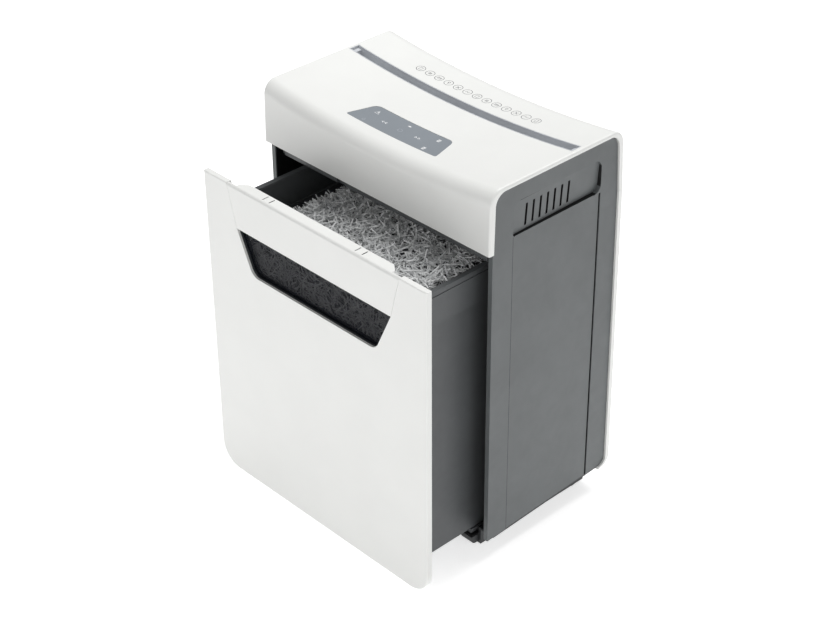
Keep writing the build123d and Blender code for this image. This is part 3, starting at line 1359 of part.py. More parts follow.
def bin_window():
    """Opening in the bin's front wall behind the window."""
    grow = FRAME_WALL + 0.6
    return front_prism(
        window_points(grow, FRAME_RISE + grow),
        BIN_FRONT_Y - 1,
        BIN_FRONT_Y + BIN_WALL + 4,
        [(0, WINDOW_R + grow), (1, WINDOW_R + grow)],
    )


def drawer_front_screws():
    """Screws that hold the front to the bin."""
    wall = BIN_FRONT_Y + BIN_WALL
    return [
        rod_y(SCREW_HEAD_R, x, wall, wall + SCREW_HEAD, z) + rod_y(SCREW_R, x, BIN_FRONT_Y - 3, wall + 1, z)
        for x, z in drawer_screw_places()
    ]


def shred_heap():
    """Crust of the heap of shreds: its top, its left slope and its face to the window."""
    left = -BIN_X + HEAP_LEFT_MARGIN
    right = BIN_X - RIM_FLANGE - HEAP_GAP
    top = BIN_TOP_Z - HEAP_DROP
    front = FRONT_FACE_Y + FRAME_DEPTH + PANE_THICK + HEAP_GAP
    back = BIN_REAR_Y - BIN_WALL - HEAP_GAP
    end_drop, shoulder_drop, middle_drop = HEAP_DROPS
    upper = [
        (left - HEAP_SLOPE_RUN, top - HEAP_SLOPE - end_drop),
        (left, top - end_drop),
        (left + HEAP_SHOULDER, top - shoulder_drop),
        (0, top - middle_drop),
        (right - HEAP_SHOULDER, top),
        (right, top - middle_drop / 2),
    ]
    lower = [(x, z - HEAP_THICK) for x, z in reversed(upper)]
    crust = front_prism(upper + lower, front, back)
    curtain_low = WINDOW_LOW_Z - 2 * CURTAIN_DROP
    curtain = [
        (left - HEAP_SLOPE_RUN / 2, curtain_low),
        (right, curtain_low),
        (right, top - CURTAIN_DROP),
        (left + HEAP_SHOULDER, top - shoulder_drop - CURTAIN_DROP),
        (left, top - end_drop - CURTAIN_DROP),
    ]
    return crust + front_prism(curtain, front, front + HEAP_THICK)


# --- Write the nodes ----------------------------------------------------------------
def main():
    """Build and save every node."""
    os.makedirs("parts", exist_ok=True)
    right_panel = right_side_panel()
    front_sync, rear_sync = sync_gears()
    save("head_cover", head_cover())
    save("control_panel_overlay", control_panel_overlay())
    save("feed_slot_guide", feed_slot_guide())
    save("right_side_panel", right_panel)
    save("left_side_panel", mirror(right_panel, Plane.YZ))
    save("rear_cover", rear_cover())
    save("base_frame", base_frame())
    save("rubber_feet", *rubber_feet())
    save("glide_strips", *glide_strips())
    save("head_chassis", head_chassis())
    save("cover_screws", *cover_screws())
    save("left_cutter_plate", left_cutter_plate())
    save("right_cutter_plate", right_cutter_plate())
    save("cutter_tie_rods", *cutter_tie_rods())
    save("cutter_bushes", *cutter_bushes())
    save("front_stripper_comb", stripper_comb(FRONT_AXIS_Y, 0, -1))
    save("rear_stripper_comb", stripper_comb(REAR_AXIS_Y, DISC_PITCH / 2, 1))
    save("gearbox_cover", gearbox_cover())
    save("idler_axle", idler_axle())
    save("motor_can", motor_can())
    save("motor_end_cap", motor_end_cap())
    save("motor_screws", *motor_screws())
    save("control_board", control_board())
    save("power_board", power_board())
    save("board_components", *board_components())
    save("paper_sensor_pair", *paper_sensor_pair())
    save("interlock_switch", interlock_switch())
    save("mains_switch_body", mains_switch_body())
    save("cable_gland", cable_gland())
    save("front_cutter_roller", front_cutter_roller())
    save("front_roller_drive_gear", front_roller_drive_gear())
    save("front_roller_sync_gear", front_sync)
    save("rear_cutter_roller", rear_cutter_roller())
    save("rear_roller_sync_gear", rear_sync)
    save("intermediate_gear", intermediate_gear())
    save("motor_rotor", motor_rotor())
    save("motor_pinion", motor_pinion())
    save("motor_fan", motor_fan())
    save("interlock_plunger", interlock_plunger())
    save("mains_rocker", mains_rocker())
    save("drawer_front", drawer_front())
    save("pull_flap", pull_flap())
    save("window_frame", window_frame())
    save("window_pane", window_pane())
    save("waste_bin", waste_bin())
    save("drawer_front_screws", *drawer_front_screws())
    save("shred_heap", shred_heap())


main()
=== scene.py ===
"""Compact paper shredder: finishes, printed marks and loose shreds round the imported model.

Everything is in metres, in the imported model's own frame: origin on the floor under the middle
of the footprint, X to the right, Y to the back, Z up.
"""

import json
import logging
import math
from dataclasses import dataclass, field
from enum import Enum

import bpy
import numpy as np
from mathutils import Matrix, Vector
from mathutils.bvhtree import BVHTree

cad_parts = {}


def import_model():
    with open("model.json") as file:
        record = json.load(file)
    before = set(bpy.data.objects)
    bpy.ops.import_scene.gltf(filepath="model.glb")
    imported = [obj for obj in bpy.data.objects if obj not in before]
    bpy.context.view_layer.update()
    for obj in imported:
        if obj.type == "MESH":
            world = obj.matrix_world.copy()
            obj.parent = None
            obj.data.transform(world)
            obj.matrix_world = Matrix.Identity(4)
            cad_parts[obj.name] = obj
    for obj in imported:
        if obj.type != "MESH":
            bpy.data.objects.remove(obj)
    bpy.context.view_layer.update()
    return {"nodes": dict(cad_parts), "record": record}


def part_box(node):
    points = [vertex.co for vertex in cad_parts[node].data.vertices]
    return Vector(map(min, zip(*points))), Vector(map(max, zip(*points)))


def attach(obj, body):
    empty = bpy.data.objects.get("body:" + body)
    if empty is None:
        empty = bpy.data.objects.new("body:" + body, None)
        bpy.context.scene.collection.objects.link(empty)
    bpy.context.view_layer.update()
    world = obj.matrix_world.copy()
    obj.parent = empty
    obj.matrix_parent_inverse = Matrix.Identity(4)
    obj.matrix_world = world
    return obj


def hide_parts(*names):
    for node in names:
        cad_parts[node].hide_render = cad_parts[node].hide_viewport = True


MM = 0.001
LOG = logging.getLogger("shredder")

Colour = tuple[float, float, float]
Point = tuple[float, float]
Socket = bpy.types.NodeSocket


# --- Small tools ----------------------------------------------------------------------
def deselect() -> None:
    """Leave object mode with nothing selected."""
    if bpy.context.object is not None and bpy.context.object.mode != "OBJECT":
        bpy.ops.object.mode_set(mode="OBJECT")
    bpy.ops.object.select_all(action="DESELECT")


def activate(piece: bpy.types.Object) -> None:
    """Select one object alone and make it active."""
    deselect()
    piece.select_set(True)
    bpy.context.view_layer.objects.active = piece


def settle(piece: bpy.types.Object, name: str) -> bpy.types.Object:
    """Name a piece and put its place, turn and size into its mesh.

    Args:
        piece: The object to finish.
        name: Its name.

    Returns:
        The same object.
    """
    activate(piece)
    bpy.ops.object.transform_apply(location=True, rotation=True, scale=True)
    piece.name = name
    piece.data.name = name
    return piece


def join(pieces: list[bpy.types.Object], name: str) -> bpy.types.Object:
    """Join several meshes into one piece.

    Args:
        pieces: The mesh objects.
        name: The joined piece's name.

    Returns:
        The joined object.
    """
    deselect()
    for piece in pieces:
        piece.select_set(True)
    bpy.context.view_layer.objects.active = pieces[0]
    if len(pieces) > 1:
        bpy.ops.object.join()
    return settle(pieces[0], name)


def surface_of(node: str) -> BVHTree:
    """Search tree over a CAD node's surface.

    Args:
        node: The node's name.

    Returns:
        The tree, in the shared frame.
    """
    mesh = bpy.data.objects[node].data
    points = [vertex.co.copy() for vertex in mesh.vertices]
    faces = [tuple(polygon.vertices) for polygon in mesh.polygons]
    return BVHTree.FromPolygons(points, faces)


@dataclass(frozen=True)
class PaintedShadeZone:
    """Box in millimetres, mirrored in X, of painted shade: a piece is darkened near black there, where its
    inside and its grooves lie in shadow.
    """

    across: Point
    along: Point
    up: Point


# --- Finishes -------------------------------------------------------------------------
class Graph:
    """Node graph of one material, with short calls for the nodes the finishes share."""

    def __init__(self, name: str) -> None:
        """Start an empty material with its shader.

        Args:
            name: The material's name.
        """
        self.material = bpy.data.materials.new(name)
        self.material.use_nodes = True
        self.tree = self.material.node_tree
        self.shader = self.tree.nodes["Principled BSDF"]
        self.place = self.tree.nodes.new("ShaderNodeTexCoord")

    def set(self, **values: object) -> None:
        """Set the shader's own sockets; underscores in names stand for spaces."""
        for name, value in values.items():
            self.shader.inputs[name.replace("_", " ")].default_value = value

    def link(self, out: Socket, into: Socket) -> None:
        """Join two sockets."""
        self.tree.links.new(out, into)

    def spread(self, stretch: tuple[float, float, float]) -> Socket:
        """Object coordinates stretched along the axes.

        Args:
            stretch: Scale along X, Y and Z.

        Returns:
            The vector socket.
        """
        mapping = self.tree.nodes.new("ShaderNodeMapping")
        mapping.inputs["Scale"].default_value = stretch
        self.link(self.place.outputs["Object"], mapping.inputs["Vector"])
        return mapping.outputs["Vector"]

    def noise(self, scale: float, detail: float = 2.0, vector: Socket = None) -> Socket:
        """Noise over the surface.

        Args:
            scale: Features per metre.
            detail: Octaves.
            vector: Where it is read; object coordinates if left out.

        Returns:
            The factor socket.
        """
        node = self.tree.nodes.new("ShaderNodeTexNoise")
        node.inputs["Scale"].default_value = scale
        node.inputs["Detail"].default_value = detail
        self.link(vector or self.place.outputs["Object"], node.inputs["Vector"])
        return node.outputs["Fac"]

    def ramp(self, factor: Socket, stops: list[tuple[float, Colour]]) -> Socket:
        """Colour ramp.

        Args:
            factor: What drives it.
            stops: Places and their colours.

        Returns:
            The colour socket.
        """
        node = self.tree.nodes.new("ShaderNodeValToRGB")
        elements = node.color_ramp.elements
        while len(elements) < len(stops):
            elements.new(0.5)
        for element, (place, colour) in zip(elements, stops):
            element.position = place
            element.color = (*colour, 1.0)
        self.link(factor, node.inputs["Fac"])
        return node.outputs["Color"]

    def range(self, factor: Socket, low: float, high: float) -> Socket:
        """Spread a 0.3 to 0.7 factor between two values."""
        node = self.tree.nodes.new("ShaderNodeMapRange")
        node.inputs["From Min"].default_value = 0.3
        node.inputs["From Max"].default_value = 0.7
        node.inputs["To Min"].default_value = low
        node.inputs["To Max"].default_value = high
        self.link(factor, node.inputs["Value"])
        return node.outputs["Result"]

    def zones(self, colour: Socket, zones: tuple[PaintedShadeZone, ...], dark: float) -> Socket:
        """Darken a colour inside boxes: painted shade where insides, recesses and grooves lie in shadow.

        Args:
            colour: The colour outside them.
            zones: The boxes of painted shade.
            dark: What the colour is multiplied by inside, the depth of the painted shade.

        Returns:
            The colour.
        """
        nodes = self.tree.nodes
        split = nodes.new("ShaderNodeSeparateXYZ")
        self.link(self.place.outputs["Object"], split.inputs[0])
        mirrored = nodes.new("ShaderNodeMath")
        mirrored.operation = "ABSOLUTE"
        self.link(split.outputs["X"], mirrored.inputs[0])
        axes = (mirrored.outputs[0], split.outputs["Y"], split.outputs["Z"])
        for zone in zones:
            inside = None
            for value, (low, high) in zip(axes, (zone.across, zone.along, zone.up)):
                near = nodes.new("ShaderNodeMath")
                near.operation = "COMPARE"
                self.link(value, near.inputs[0])
                near.inputs[1].default_value = (low + high) / 2 * MM
                near.inputs[2].default_value = (high - low) / 2 * MM
                if inside is None:
                    inside = near.outputs[0]
                    continue
                both = nodes.new("ShaderNodeMath")
                both.operation = "MULTIPLY"
                self.link(inside, both.inputs[0])
                self.link(near.outputs[0], both.inputs[1])
                inside = both.outputs[0]
            mix = nodes.new("ShaderNodeMix")
            mix.data_type = "RGBA"
            mix.blend_type = "MULTIPLY"
            mix.inputs["B"].default_value = (dark, dark, dark, 1.0)
            self.link(inside, mix.inputs["Factor"])
            self.link(colour, mix.inputs["A"])
            colour = mix.outputs["Result"]
        return colour

    def bump(self, height: Socket, depth: float, under: Socket = None) -> Socket:
        """Bump from a height.

        Args:
            height: The height socket.
            depth: Depth in metres.
            under: A bump that lies under this one.

        Returns:
            The normal socket.
        """
        node = self.tree.nodes.new("ShaderNodeBump")
        node.inputs["Distance"].default_value = depth
        self.link(height, node.inputs["Height"])
        if under is not None:
            self.link(under, node.inputs["Normal"])
        return node.outputs["Normal"]


def shade(colour: Colour, factor: float) -> Colour:
    """A colour made lighter or darker by a factor."""
    return tuple(min(1.0, channel * factor) for channel in colour)


@dataclass(frozen=True)
class MouldedPlastic:
    """Injection-moulded plastic with a fine grain and faint mottling, and painted shade in given boxes where
    the part lies in shadow.
    """

    name: str
    colour: Colour
    roughness: float = 0.45
    grain: float = 1400.0
    depth: float = 0.02 * MM
    mottle: float = 0.03
    coat: float = 0.0
    # Boxes of painted shade, and what the colour is multiplied by inside them.
    zones: tuple[PaintedShadeZone, ...] = ()
    painted_shade_dark: float = 0.05

    def material(self) -> bpy.types.Material:
        """Build the material.

        Returns:
            The finished material.
        """
        graph = Graph(self.name)
        low, high = shade(self.colour, 1 - self.mottle), shade(self.colour, 1 + self.mottle)
        cloud = graph.noise(22.0, 3.0)
        colour = graph.ramp(cloud, [(0.35, low), (0.65, high)])
        # Painted shade: the mottled colour is darkened in the boxes, where the part lies in shadow.
        graph.link(graph.zones(colour, self.zones, self.painted_shade_dark), graph.shader.inputs["Base Color"])
        grain = graph.noise(self.grain, 3.0)
        rough = graph.range(graph.noise(120.0, 2.0), self.roughness * 0.92, self.roughness * 1.08)
        graph.link(rough, graph.shader.inputs["Roughness"])
        wave = graph.bump(graph.noise(9.0, 1.0), 0.12 * MM)
        graph.link(graph.bump(grain, self.depth, wave), graph.shader.inputs["Normal"])
        graph.set(Coat_Weight=self.coat, Coat_Roughness=0.12)
        return graph.material


@dataclass(frozen=True)
class BrushedMetal:
    """Metal with fine lines along one axis and darker stains."""

    name: str
    colour: Colour
    roughness: float = 0.32
    stretch: tuple[float, float, float] = (40.0, 1800.0, 1800.0)
    stain: float = 0.18

    def material(self) -> bpy.types.Material:
        """Build the material.

        Returns:
            The finished material.
        """
        graph = Graph(self.name)
        lines = graph.noise(1.0, 4.0, graph.spread(self.stretch))
        stains = graph.noise(60.0, 4.0)
        dark = shade(self.colour, 1 - self.stain)
        graph.link(graph.ramp(stains, [(0.35, dark), (0.6, self.colour)]), graph.shader.inputs["Base Color"])
        rough = graph.range(lines, self.roughness * 0.75, self.roughness * 1.3)
        graph.link(rough, graph.shader.inputs["Roughness"])
        graph.link(graph.bump(lines, 0.01 * MM), graph.shader.inputs["Normal"])
        graph.set(Metallic=1.0)
        return graph.material


@dataclass(frozen=True)
class Laminate:
    """Circuit board: green lacquer over copper tracks, with tinned pads."""

    name: str
    lacquer: Colour = (0.012, 0.11, 0.045)
    track: Colour = (0.03, 0.22, 0.09)
    pad: Colour = (0.62, 0.62, 0.58)

    def material(self) -> bpy.types.Material:
        """Build the material.

        Returns:
            The finished material.
        """
        graph = Graph(self.name)
        nodes = graph.tree.nodes
        tracks = nodes.new("ShaderNodeTexBrick")
        tracks.inputs["Scale"].default_value = 90.0
        tracks.inputs["Mortar Size"].default_value = 0.05
        tracks.inputs["Color1"].default_value = (*self.lacquer, 1.0)
        tracks.inputs["Color2"].default_value = (*shade(self.lacquer, 0.8), 1.0)
        tracks.inputs["Mortar"].default_value = (*self.track, 1.0)
        graph.link(graph.place.outputs["Object"], tracks.inputs["Vector"])
        cells = nodes.new("ShaderNodeTexVoronoi")
        cells.inputs["Scale"].default_value = 260.0
        graph.link(graph.place.outputs["Object"], cells.inputs["Vector"])
        dots = graph.ramp(cells.outputs["Distance"], [(0.16, (1, 1, 1)), (0.19, (0, 0, 0))])
        mix = nodes.new("ShaderNodeMix")
        mix.data_type = "RGBA"
        mix.inputs["B"].default_value = (*self.pad, 1.0)
        graph.link(dots, mix.inputs["Factor"])
        graph.link(tracks.outputs["Color"], mix.inputs["A"])
        graph.link(mix.outputs["Result"], graph.shader.inputs["Base Color"])
        graph.link(graph.bump(tracks.outputs["Fac"], 0.03 * MM), graph.shader.inputs["Normal"])
        graph.set(Roughness=0.35)
        return graph.material


@dataclass(frozen=True)
class ShreddedPaper:
    """White paper, each strip with its own tone and some with print on them; a near-black copy serves as
    painted shade.
    """

    name: str
    white: Colour = (0.86, 0.87, 0.87)
    grey: Colour = (0.60, 0.61, 0.62)
    ink: Colour = (0.10, 0.10, 0.11)

    def material(self) -> bpy.types.Material:
        """Build the material.

        Returns:
            The finished material.
        """
        graph = Graph(self.name)
        tone = graph.tree.nodes.new("ShaderNodeAttribute")
        tone.attribute_name = "tone"
        base = graph.ramp(tone.outputs["Fac"], [(0.0, self.grey), (0.45, self.white), (1.0, self.white)])
        print_marks = graph.noise(900.0, 1.0, graph.spread((1.0, 0.35, 1.0)))
        marks = graph.ramp(print_marks, [(0.66, (1, 1, 1)), (0.69, self.ink)])
        mix = graph.tree.nodes.new("ShaderNodeMix")
        mix.data_type = "RGBA"
        mix.blend_type = "MULTIPLY"
        mix.inputs["Factor"].default_value = 0.45
        graph.link(base, mix.inputs["A"])
        graph.link(marks, mix.inputs["B"])
        graph.link(mix.outputs["Result"], graph.shader.inputs["Base Color"])
        graph.link(graph.bump(graph.noise(3000.0, 2.0), 0.01 * MM), graph.shader.inputs["Normal"])
        graph.set(Roughness=0.85, Specular_IOR_Level=0.25)
        return graph.material


@dataclass(frozen=True)
class SmokedClear:
    """Clear plastic with a dark tint, half see-through."""

    name: str
    tint: Colour = (0.006, 0.007, 0.011)
    cover: float = 0.5

    def material(self) -> bpy.types.Material:
        """Build the material.

        Returns:
            The finished material.
        """
        graph = Graph(self.name)
        haze = graph.range(graph.noise(35.0, 3.0), 0.03, 0.07)
        graph.link(haze, graph.shader.inputs["Roughness"])
        graph.set(Base_Color=(*self.tint, 1.0), Alpha=self.cover, Specular_IOR_Level=0.08)
        return graph.material


# Painted shade on the side panels: their inside faces, the vent slots, the vent pocket's bottom and rear
# walls and edges, and the grooves of the recessed field, all darkened as if in shadow.
VENT_PITCH = 9.2
VENT_FRONT_Y = -3.5
VENT_BACK_Y = -0.8
VENT_COUNT = 7
SIDE_PANEL_SHADE_ZONES = (
    PaintedShadeZone((100.0, 145.2), (-44.0, 200.0), (0.0, 346.5)),
    PaintedShadeZone((100.0, 142.7), (-44.0, 200.0), (0.0, 420.0)),
    *(
        PaintedShadeZone(
            (100.0, 148.5),
            (VENT_PITCH * vent + VENT_FRONT_Y, VENT_PITCH * vent + VENT_BACK_Y),
            (353.9, 376.7),
        )
        for vent in range(VENT_COUNT)
    ),
    PaintedShadeZone((100.0, 147.5), (-20.4, 94.0), (349.45, 350.1)),
    PaintedShadeZone((100.0, 147.8), (93.3, 94.0), (349.4, 384.5)),
    PaintedShadeZone((100.0, 147.1), (-20.4, 94.0), (0.0, 349.4)),
    PaintedShadeZone((100.0, 147.3), (-19.55, -18.9), (0.0, 349.4)),
    PaintedShadeZone((100.0, 147.9), (-19.7, -19.15), (350.0, 375.0)),
    PaintedShadeZone((100.0, 147.9), (-11.3, 84.8), (382.9, 383.45)),
)
# Painted shade on the white covers: their inside faces and a small spot at the head's lower front edge near
# |x| 56 to 69 mm, darkened as if in shadow.
COVER_SHADE_ZONES = (
    PaintedShadeZone((0.0, 142.0), (-48.6, 120.2), (0.0, 342.0)),
    PaintedShadeZone((0.0, 142.0), (-48.6, 116.5), (343.5, 380.0)),
    PaintedShadeZone((0.0, 142.0), (-36.0, 104.0), (380.0, 392.5)),
    PaintedShadeZone((56.0, 69.0), (-123.3, -115.9), (338.0, 339.9)),
)


class Finish(Enum):
    """The finishes, each under the name of the record's slot."""

    # The white and grey plastics carry painted shade in their boxes.
    WHITE_PLASTIC = MouldedPlastic("white_plastic", (0.86, 0.865, 0.845), 0.34, 1500.0, 0.004 * MM, 0.008,
                                   0.12, COVER_SHADE_ZONES)
    GREY_PLASTIC = MouldedPlastic("grey_plastic", (0.125, 0.135, 0.138), 0.52, 1500.0, 0.05 * MM, 0.05,
                                  0.0, SIDE_PANEL_SHADE_ZONES)
    DARK_PLASTIC = MouldedPlastic("dark_plastic", (0.022, 0.024, 0.026), 0.5, 1300.0, 0.05 * MM, 0.06)
    BLACK_PLASTIC = MouldedPlastic("black_plastic", (0.012, 0.012, 0.013), 0.42, 1300.0, 0.03 * MM, 0.08)
    PANEL_GREY = MouldedPlastic("panel_grey", (0.255, 0.282, 0.312), 0.3, 2200.0, 0.004 * MM, 0.02, 0.25)
    SLOT_GREY = MouldedPlastic("slot_grey", (0.58, 0.60, 0.63), 0.42, 1500.0, 0.02 * MM, 0.03)
    FRAME_GREY = MouldedPlastic("frame_grey", (0.05, 0.054, 0.058), 0.22, 1500.0, 0.01 * MM, 0.03, 0.3)
    CHASSIS_GREY = MouldedPlastic("chassis_grey", (0.10, 0.106, 0.11), 0.42, 1500.0, 0.03 * MM, 0.04)
    BIN_GREY = MouldedPlastic("bin_grey", (0.095, 0.101, 0.105), 0.5, 1500.0, 0.04 * MM, 0.05)
    STEEL = BrushedMetal("steel", (0.60, 0.61, 0.62))
    CUTTER_STEEL = BrushedMetal("cutter_steel", (0.42, 0.43, 0.44), 0.28, (1800.0, 60.0, 60.0), 0.3)
    GEAR_STEEL = BrushedMetal("gear_steel", (0.36, 0.36, 0.37), 0.45, (1500.0, 200.0, 200.0), 0.25)
    GEAR_PLASTIC = MouldedPlastic("gear_plastic", (0.74, 0.72, 0.65), 0.4, 1200.0, 0.01 * MM, 0.03)
    BRASS = BrushedMetal("brass", (0.72, 0.52, 0.24), 0.34, (60.0, 1500.0, 1500.0), 0.2)
    RUBBER = MouldedPlastic("rubber", (0.018, 0.018, 0.019), 0.75, 1000.0, 0.08 * MM, 0.1)
    CIRCUIT_BOARD = Laminate("circuit_board")
    COMPONENT_BLACK = MouldedPlastic("component_black", (0.02, 0.02, 0.022), 0.38, 1500.0, 0.03 * MM, 0.1)
    PLUNGER_RED = MouldedPlastic("plunger_red", (0.45, 0.02, 0.015), 0.4, 1500.0, 0.02 * MM, 0.05)
    SHREDDED_PAPER = ShreddedPaper("shredded_paper")
    # Near-black paper for the bed and the curtain: painted shade standing for the deep shadow in the gaps
    # between strips.
    SHRED_SHADE = ShreddedPaper("shred_shade", (0.085, 0.087, 0.09), (0.04, 0.041, 0.043))
    SMOKED_GLASS = SmokedClear("smoked_glass")
    MARK_WHITE = MouldedPlastic("mark_white", (0.90, 0.91, 0.92), 0.5, 1500.0, 0.004 * MM, 0.03)
    MARK_GREY = MouldedPlastic("mark_grey", (0.10, 0.105, 0.115), 0.5, 1500.0, 0.004 * MM, 0.05)
    MARK_FAINT = MouldedPlastic("mark_faint", (0.36, 0.39, 0.43), 0.5, 1500.0, 0.004 * MM, 0.03)


@dataclass
class Finishes:
    """Every finish made once and handed out by name."""

    made: dict[str, bpy.types.Material] = field(default_factory=dict)

    def get(self, finish: Finish) -> bpy.types.Material:
        """The material of a finish, built when first asked for."""
        name = finish.value.name
        if name not in self.made:
            self.made[name] = finish.value.material()
        return self.made[name]

    def dress_nodes(self, nodes: dict[str, bpy.types.Object], slots: dict[str, str]) -> None:
        """Give every CAD node the finish of its slot.

        Args:
            nodes: The CAD nodes.
            slots: Slot name of each node.
        """
        by_slot = {finish.value.name: finish for finish in Finish}
        lighter = {"head_chassis": Finish.CHASSIS_GREY}
        for name, node in nodes.items():
            material = self.get(lighter.get(name, by_slot[slots[name]]))
            for place in node.material_slots:
                place.material = material

    def dress(self, piece: bpy.types.Object, finish: Finish) -> None:
        """Give a new piece one finish."""
        piece.data.materials.clear()
        piece.data.materials.append(self.get(finish))


# --- Printed marks --------------------------------------------------------------------
@dataclass(frozen=True)
class Stroke:
    """One line of a mark, in millimetres about the mark's middle."""

    points: tuple[Point, ...]
    closed: bool = False


def arc(radius: float, start: float, end: float, steps: int = 16, at: Point = (0.0, 0.0)) -> Stroke:
    """Part of a circle.

    Args:
        radius: Radius in millimetres.
        start: First angle in degrees.
        end: Last angle in degrees.
        steps: Number of runs.
        at: Middle of the circle.

    Returns:
        The stroke; it is closed when it goes all the way round.
    """
    whole = abs(end - start) >= 360
    count = steps if whole else steps + 1
    angles = [math.radians(start + (end - start) * number / steps) for number in range(count)]
    return Stroke(tuple((at[0] + radius * math.cos(a), at[1] + radius * math.sin(a)) for a in angles), whole)


def line(*points: Point) -> Stroke:
    """Open line through points."""
    return Stroke(points)


def loop(*points: Point) -> Stroke:
    """Closed line through points."""
    return Stroke(points, True)


class Symbol(Enum):
    """Plain symbols on the touch panel."""

    TRIANGLE = (loop((-2.0, -1.6), (2.0, -1.6), (0.0, 1.9)), line((0.0, -0.3), (0.0, 0.9)))
    BACK = (loop((-0.6, 0.9), (-2.2, 0.0), (-0.6, -0.9)), loop((2.4, 0.9), (0.8, 0.0), (2.4, -0.9)))
    FORWARD = (loop((0.6, 0.9), (2.2, 0.0), (0.6, -0.9)), loop((-2.4, 0.9), (-0.8, 0.0), (-2.4, -0.9)))
    POWER = (arc(2.3, 125.0, 415.0), line((0.0, 1.0), (0.0, 3.0)))
    DASH = (line((-1.3, 0.0), (1.3, 0.0)), line((-1.3, 0.5), (1.3, 0.5)))
    BIN = (loop((-0.9, -1.5), (0.9, -1.5), (1.1, 1.3), (-1.1, 1.3)), line((0.0, -1.5), (0.0, 1.3)))
    DOOR = (loop((-1.0, -1.4), (1.0, -1.4), (1.0, 1.4), (-1.0, 1.4)), line((0.0, -1.4), (0.0, 1.4)))
    DROP = (arc(1.3, -200.0, 20.0, 10), line((-1.2, 0.5), (0.0, 2.4), (1.2, 0.5)))


class Inner(Enum):
    """Plain figures inside the rings along the feed slot."""

    SHEET = (loop((-1.5, -2.2), (1.5, -2.2), (1.5, 2.2), (-1.5, 2.2)),)
    LINES = (line((-1.8, 1.1), (1.8, 1.1)), line((-1.8, 0.0), (1.8, 0.0)), line((-1.8, -1.1), (1.8, -1.1)))
    CARD = (loop((-2.2, -1.3), (2.2, -1.3), (2.2, 1.3), (-2.2, 1.3)), line((-2.2, 0.4), (2.2, 0.4)))
    CLIP = (arc(1.1, 0.0, 360.0, 12, (0.0, 0.9)), line((0.0, -0.2), (0.0, -2.3)))
    CROSS = (line((-1.9, -1.9), (1.9, 1.9)), line((-1.9, 1.9), (1.9, -1.9)))
    WAVE = (line((-2.2, -0.9), (-0.9, 0.9), (0.5, -0.9), (2.0, 0.9)),)


@dataclass
class MarkPrinter:
    """Prints thin flat marks on a CAD surface that faces up."""

    surface: BVHTree
    finishes: Finishes
    proud: float = 0.06 * MM
    sunk: float = 0.03 * MM
    made: int = 0

    def print(self, strokes: tuple[Stroke, ...], at: Point, width: float, scale: float = 1.0,
              turn: float = 0.0) -> bpy.types.Object:
        """Draw strokes as flat bands that follow the surface.

        Args:
            strokes: The lines, in millimetres.
            at: Where the mark's middle is, in metres.
            width: Width of the lines in millimetres.
            scale: Size of the mark against its own measures.
            turn: Turn about Z in radians.

        Returns:
            The mark's mesh object.
        """
        curve = bpy.data.curves.new(f"mark_{self.made}", "CURVE")
        self.made += 1
        curve.dimensions = "3D"
        curve.bevel_depth = width / 2 * MM
        curve.bevel_resolution = 1
        curve.use_fill_caps = True
        for stroke in strokes:
            spline = curve.splines.new("POLY")
            spline.points.add(len(stroke.points) - 1)
            for point, (x, y) in zip(spline.points, stroke.points):
                point.co = (x * scale * MM, y * scale * MM, 0.0, 1.0)
            spline.use_cyclic_u = stroke.closed
        piece = bpy.data.objects.new(curve.name, curve)
        bpy.context.scene.collection.objects.link(piece)
        activate(piece)
        bpy.ops.object.convert(target="MESH")
        piece = bpy.context.object
        piece.data.transform(Matrix.Translation((*at, 0.0)) @ Matrix.Rotation(turn, 4, "Z"))
        self.lay(piece, width / 2 * MM)
        return piece

    def lay(self, piece: bpy.types.Object, half: float) -> None:
        """Flatten a mark and lay it on the surface.

        Args:
            piece: The mark, its lines about z = 0.
            half: Half the thickness it has now.
        """
        for vertex in piece.data.vertices:
            x, y, z = vertex.co
            hit = self.surface.ray_cast(Vector((x, y, 1.0)), Vector((0.0, 0.0, -1.0)))[0]
            share = (z / half + 1) / 2
            vertex.co.z = hit.z - self.sunk + share * (self.proud + self.sunk)


@dataclass
class TouchPanelMarks:
    """White symbols on the grey touch panel."""

    printer: MarkPrinter
    front: float
    places: tuple[tuple[Symbol, float, float, float], ...] = (
        (Symbol.TRIANGLE, -40.1, 22.8, 1.3),
        (Symbol.BACK, -23.2, 14.6, 1.3),
        (Symbol.DASH, -0.6, 25.2, 1.3),
        (Symbol.FORWARD, 20.5, 15.0, 1.3),
        (Symbol.DOOR, 38.6, 5.0, 1.3),
        (Symbol.BIN, 38.4, 24.5, 1.3),
    )
    faint: tuple[tuple[Symbol, float, float, float], ...] = (
        (Symbol.DROP, -40.2, 4.5, 1.0),
        (Symbol.POWER, -1.7, 14.3, 1.0),
    )
    width: float = 1.0

    def build(self) -> list[bpy.types.Object]:
        """Make the marks.

        Returns:
            The two joined pieces.
        """
        pieces = []
        for name, rows, finish in (
            ("touch_panel_symbols", self.places, Finish.MARK_WHITE),
            ("touch_panel_faint_symbol", self.faint, Finish.MARK_FAINT),
        ):
            marks = [
                self.printer.print(symbol.value, (x * MM, self.front + y * MM), self.width, scale)
                for symbol, x, y, scale in rows
            ]
            piece = join(marks, name)
            self.printer.finishes.dress(piece, finish)
            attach(piece, "housing")
            pieces.append(piece)
        return pieces


